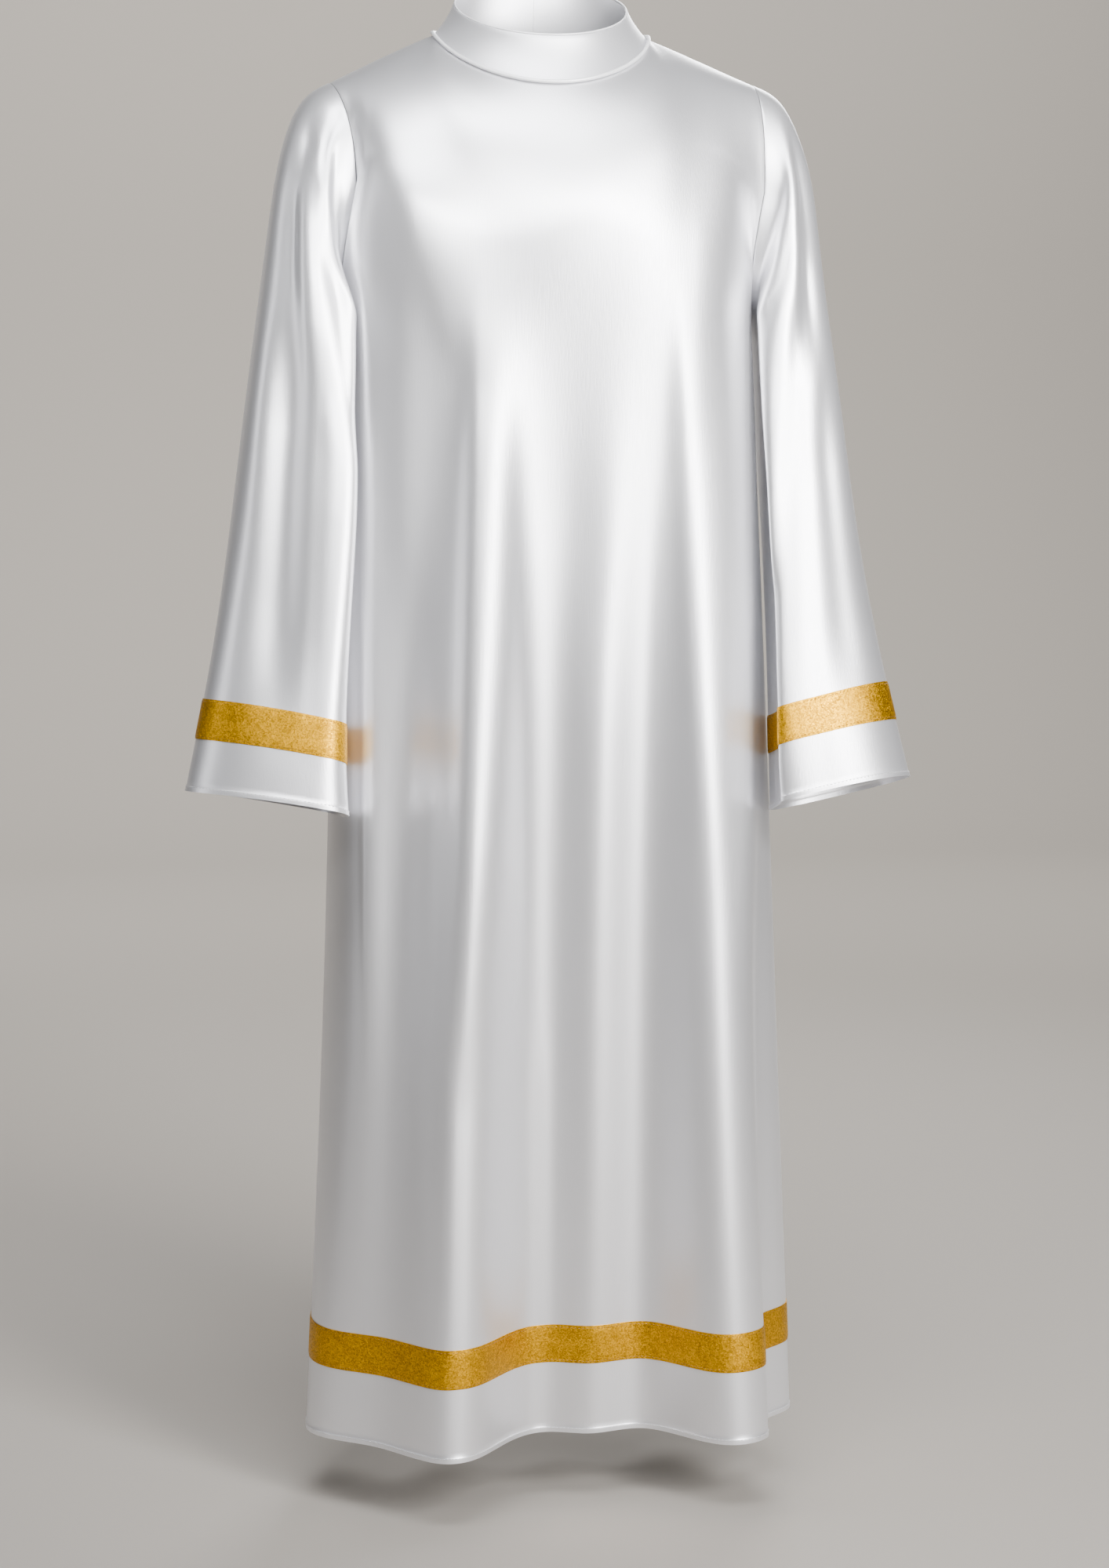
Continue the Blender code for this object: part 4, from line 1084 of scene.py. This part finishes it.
def set_stage():
    """A pale floor that curves up into a pale wall behind, the air's light and the lights."""
    profile = [(-STAGE_HALF, 0.0), (STAGE_BEND_START, 0.0)]
    for k in range(1, STAGE_BEND_STEPS + 1):
        angle = math.radians(90.0 * k / STAGE_BEND_STEPS)
        profile.append((STAGE_BEND_START + STAGE_BEND_RADIUS * math.sin(angle),
                        STAGE_BEND_RADIUS * (1.0 - math.cos(angle))))
    profile.append((STAGE_BEND_START + STAGE_BEND_RADIUS, STAGE_HALF))
    points = []
    faces = []
    for y, z in profile:
        points += [(-STAGE_HALF, y, FLOOR_Z + z), (STAGE_HALF, y, FLOOR_Z + z)]
    for k in range(len(profile) - 1):
        faces.append((2 * k, 2 * k + 1, 2 * k + 3, 2 * k + 2))
    mesh = bpy.data.meshes.new("floor")
    mesh.from_pydata(points, [], faces)
    mesh.shade_smooth()
    mesh.materials.append(stage_finish("pale floor", FLOOR_COLOUR))
    floor = bpy.data.objects.new("floor", mesh)
    bpy.context.scene.collection.objects.link(floor)
    world = bpy.data.worlds.new("studio air")
    world.use_nodes = True
    air = world.node_tree.nodes["Background"]
    set_values(air, Color=(*AIR_COLOUR, 1.0), Strength=AIR_STRENGTH)
    bpy.context.scene.world = world
    for row in LIGHTS:
        add_light(*row)


def between_rows(points, normals, place):
    """The line that lies a given number of rows down a grid, and its normals."""
    row = int(place)
    share = place - row
    line = points[row] * (1 - share) + points[row + 1] * share
    return line, unit(normals[row] * (1 - share) + normals[row + 1] * share)


def trimmed_edge(name, grid, out, first_row, closed, flip, looks, node):
    """The gold band of a panel or sleeve with its two rows of stitches, and the hem's row."""
    rows = slice(first_row, first_row + BAND_ROWS + 1)
    band = grid[rows].copy()
    if not closed:
        for column in (0, -1):
            pull_in(band, SEAM_PULL, column=column)
    piece, face = gold_band(name, band, out[rows], closed, flip, looks["gold"], (node,))
    made = {name: piece}
    inset = STITCH_INSET / BAND_WIDTH
    for k, share in enumerate((inset, 1.0 - inset)):
        line, line_out = between_rows(face, out[rows], share * BAND_ROWS)
        row_name = f"{name}_stitch_{k}"
        made[row_name] = stitch_row(row_name, line, line_out, closed, looks["gold thread"])
    row_name = f"{name}_hem_stitch"
    made[row_name] = stitch_row(row_name, grid[HEM_STITCH_ROW], out[HEM_STITCH_ROW], closed,
                                looks["white thread"])
    return made


def build_robe():
    """All the pieces by their names."""
    threads = woven_threads_group()
    looks = {row[0]: satin_finish(threads, *row) for row in SATINS}
    looks["gold"] = gold_finish(threads)
    looks.update({row[0]: satin_finish(threads, *row) for row in THREADS})

    across = panel_columns()
    front, front_out = panel_grid(True)
    back, back_out = panel_grid(False)
    middle = front.shape[1] // 2
    panels = (
        ("front_panel", front, front_out, across, False, "front"),
        ("back_panel_left", back[:, :middle + 1], back_out[:, :middle + 1], across[:middle + 1],
         True, "back_left"),
        ("back_panel_right", back[:, middle:], back_out[:, middle:], across[middle:],
         True, "back_right"),
    )
    made = {}
    for name, grid, out, places, flip, node in panels:
        shaped = dipped_seams(grid, out)
        for column in (0, -1):
            pull_in(shaped, SEAM_PULL, column=column)
        pull_in(shaped, SEAM_PULL, row=0)
        made[name] = cloth_wall(name, shaped, mitred_shoulders(out, places), CLOTH, False, flip,
                                looks["white satin"], (node,))

    band_row = UPPER_ROWS + LOWER_ROWS
    made.update(trimmed_edge("front_gold_band", front, front_out, band_row, False, False, looks,
                             "hem_band_front"))
    made.update(trimmed_edge("back_gold_band", back, back_out, band_row, False, True, looks,
                             "hem_band_back"))

    for side, word in ((-1.0, "left"), (1.0, "right")):
        sleeve, sleeve_out = sleeve_grid(side)
        shaped = sleeve.copy()
        shaped[0] -= sleeve_out[0] * SEAM_DIP
        flip = side > 0
        name = "sleeve_cloth_" + word
        made[name] = cloth_wall(name, shaped, sleeve_out, CLOTH, True, flip, looks["white satin"],
                                ("sleeve_" + word,))
        made.update(trimmed_edge("cuff_gold_band_" + word, sleeve, sleeve_out, SLEEVE_RINGS, True,
                                 flip, looks, "cuff_band_" + word))

    made.update(build_collar(looks["collar satin"], looks["piping satin with painted highlight"]))
    return made


def build_collar(look, piping_highlight_look):
    """The stand collar, the piping under it and the fine roll along its top edge. Piping and roll
    are in the lighter white, partly a painted highlight.
    """
    made = {}
    turns = np.linspace(-180.0, 180.0, COLLAR_TURNS + 1)
    shares = np.linspace(0.0, 1.0, COLLAR_ROWS)
    outer = collar_grid(turns, shares)
    out = grid_normals(outer, False)
    inner = outer - out * COLLAR_CLOTH
    up = unit(outer[0] - outer[1])
    rim = []
    centre = (outer[0] + inner[0]) / 2
    for angle in np.radians([60.0, 25.0, -25.0, -60.0]):
        rim.append(centre + out[0] * math.sin(angle) * COLLAR_CLOTH / 2
                   + up * math.cos(angle) * COLLAR_CLOTH / 2)
    profile = np.concatenate([outer[::-1], np.stack(rim), inner])
    for column in (0, -1):
        pull_in(profile, SEAM_PULL, column=column)
    profile[..., 2] += SEAM_GAP
    count, columns = profile.shape[:2]
    row, column = np.meshgrid(np.arange(count), np.arange(columns - 1), indexing="ij")
    row = row.ravel()
    column = column.ravel()
    after = (row + 1) % count
    faces = np.stack([row * columns + column, row * columns + column + 1,
                      after * columns + column + 1, after * columns + column], axis=1).tolist()
    faces.append([k * columns for k in range(count)])
    faces.append([k * columns + columns - 1 for k in reversed(range(count))])
    made["stand_collar"] = make_piece("stand_collar", profile.reshape(-1, 3), faces, look,
                                      ("collar",))

    # The piping is a real part; its lighter white is partly a painted highlight along it.
    path = outer[-1, :-1]
    base_out = out[-1, :-1]
    ahead = unit(np.roll(path, -1, axis=0) - np.roll(path, 1, axis=0))
    rise = unit(np.cross(ahead, base_out))
    away = unit(np.cross(rise, ahead))
    path = path + away * (PIPING_RADIUS + 2.0 * SEAM_GAP)
    made["neck_piping"] = roll("neck_piping", path, away, rise, PIPING_RADIUS, PIPING_SIDES,
                               piping_highlight_look, ("collar_piping",))

    # A thin roll along the collar's top edge in the lighter piping white, which gives the rim its
    # bright line: a painted highlight.
    path = (centre + up * (COLLAR_CLOTH / 2 + RIM_RADIUS + SEAM_GAP))[:-1]
    made["collar_rim_highlight"] = roll("collar_rim_highlight", path, out[0, :-1], up[:-1], RIM_RADIUS, RIM_SIDES,
                              piping_highlight_look, ())
    return made


set_camera()
robe = build_robe()
set_stage()
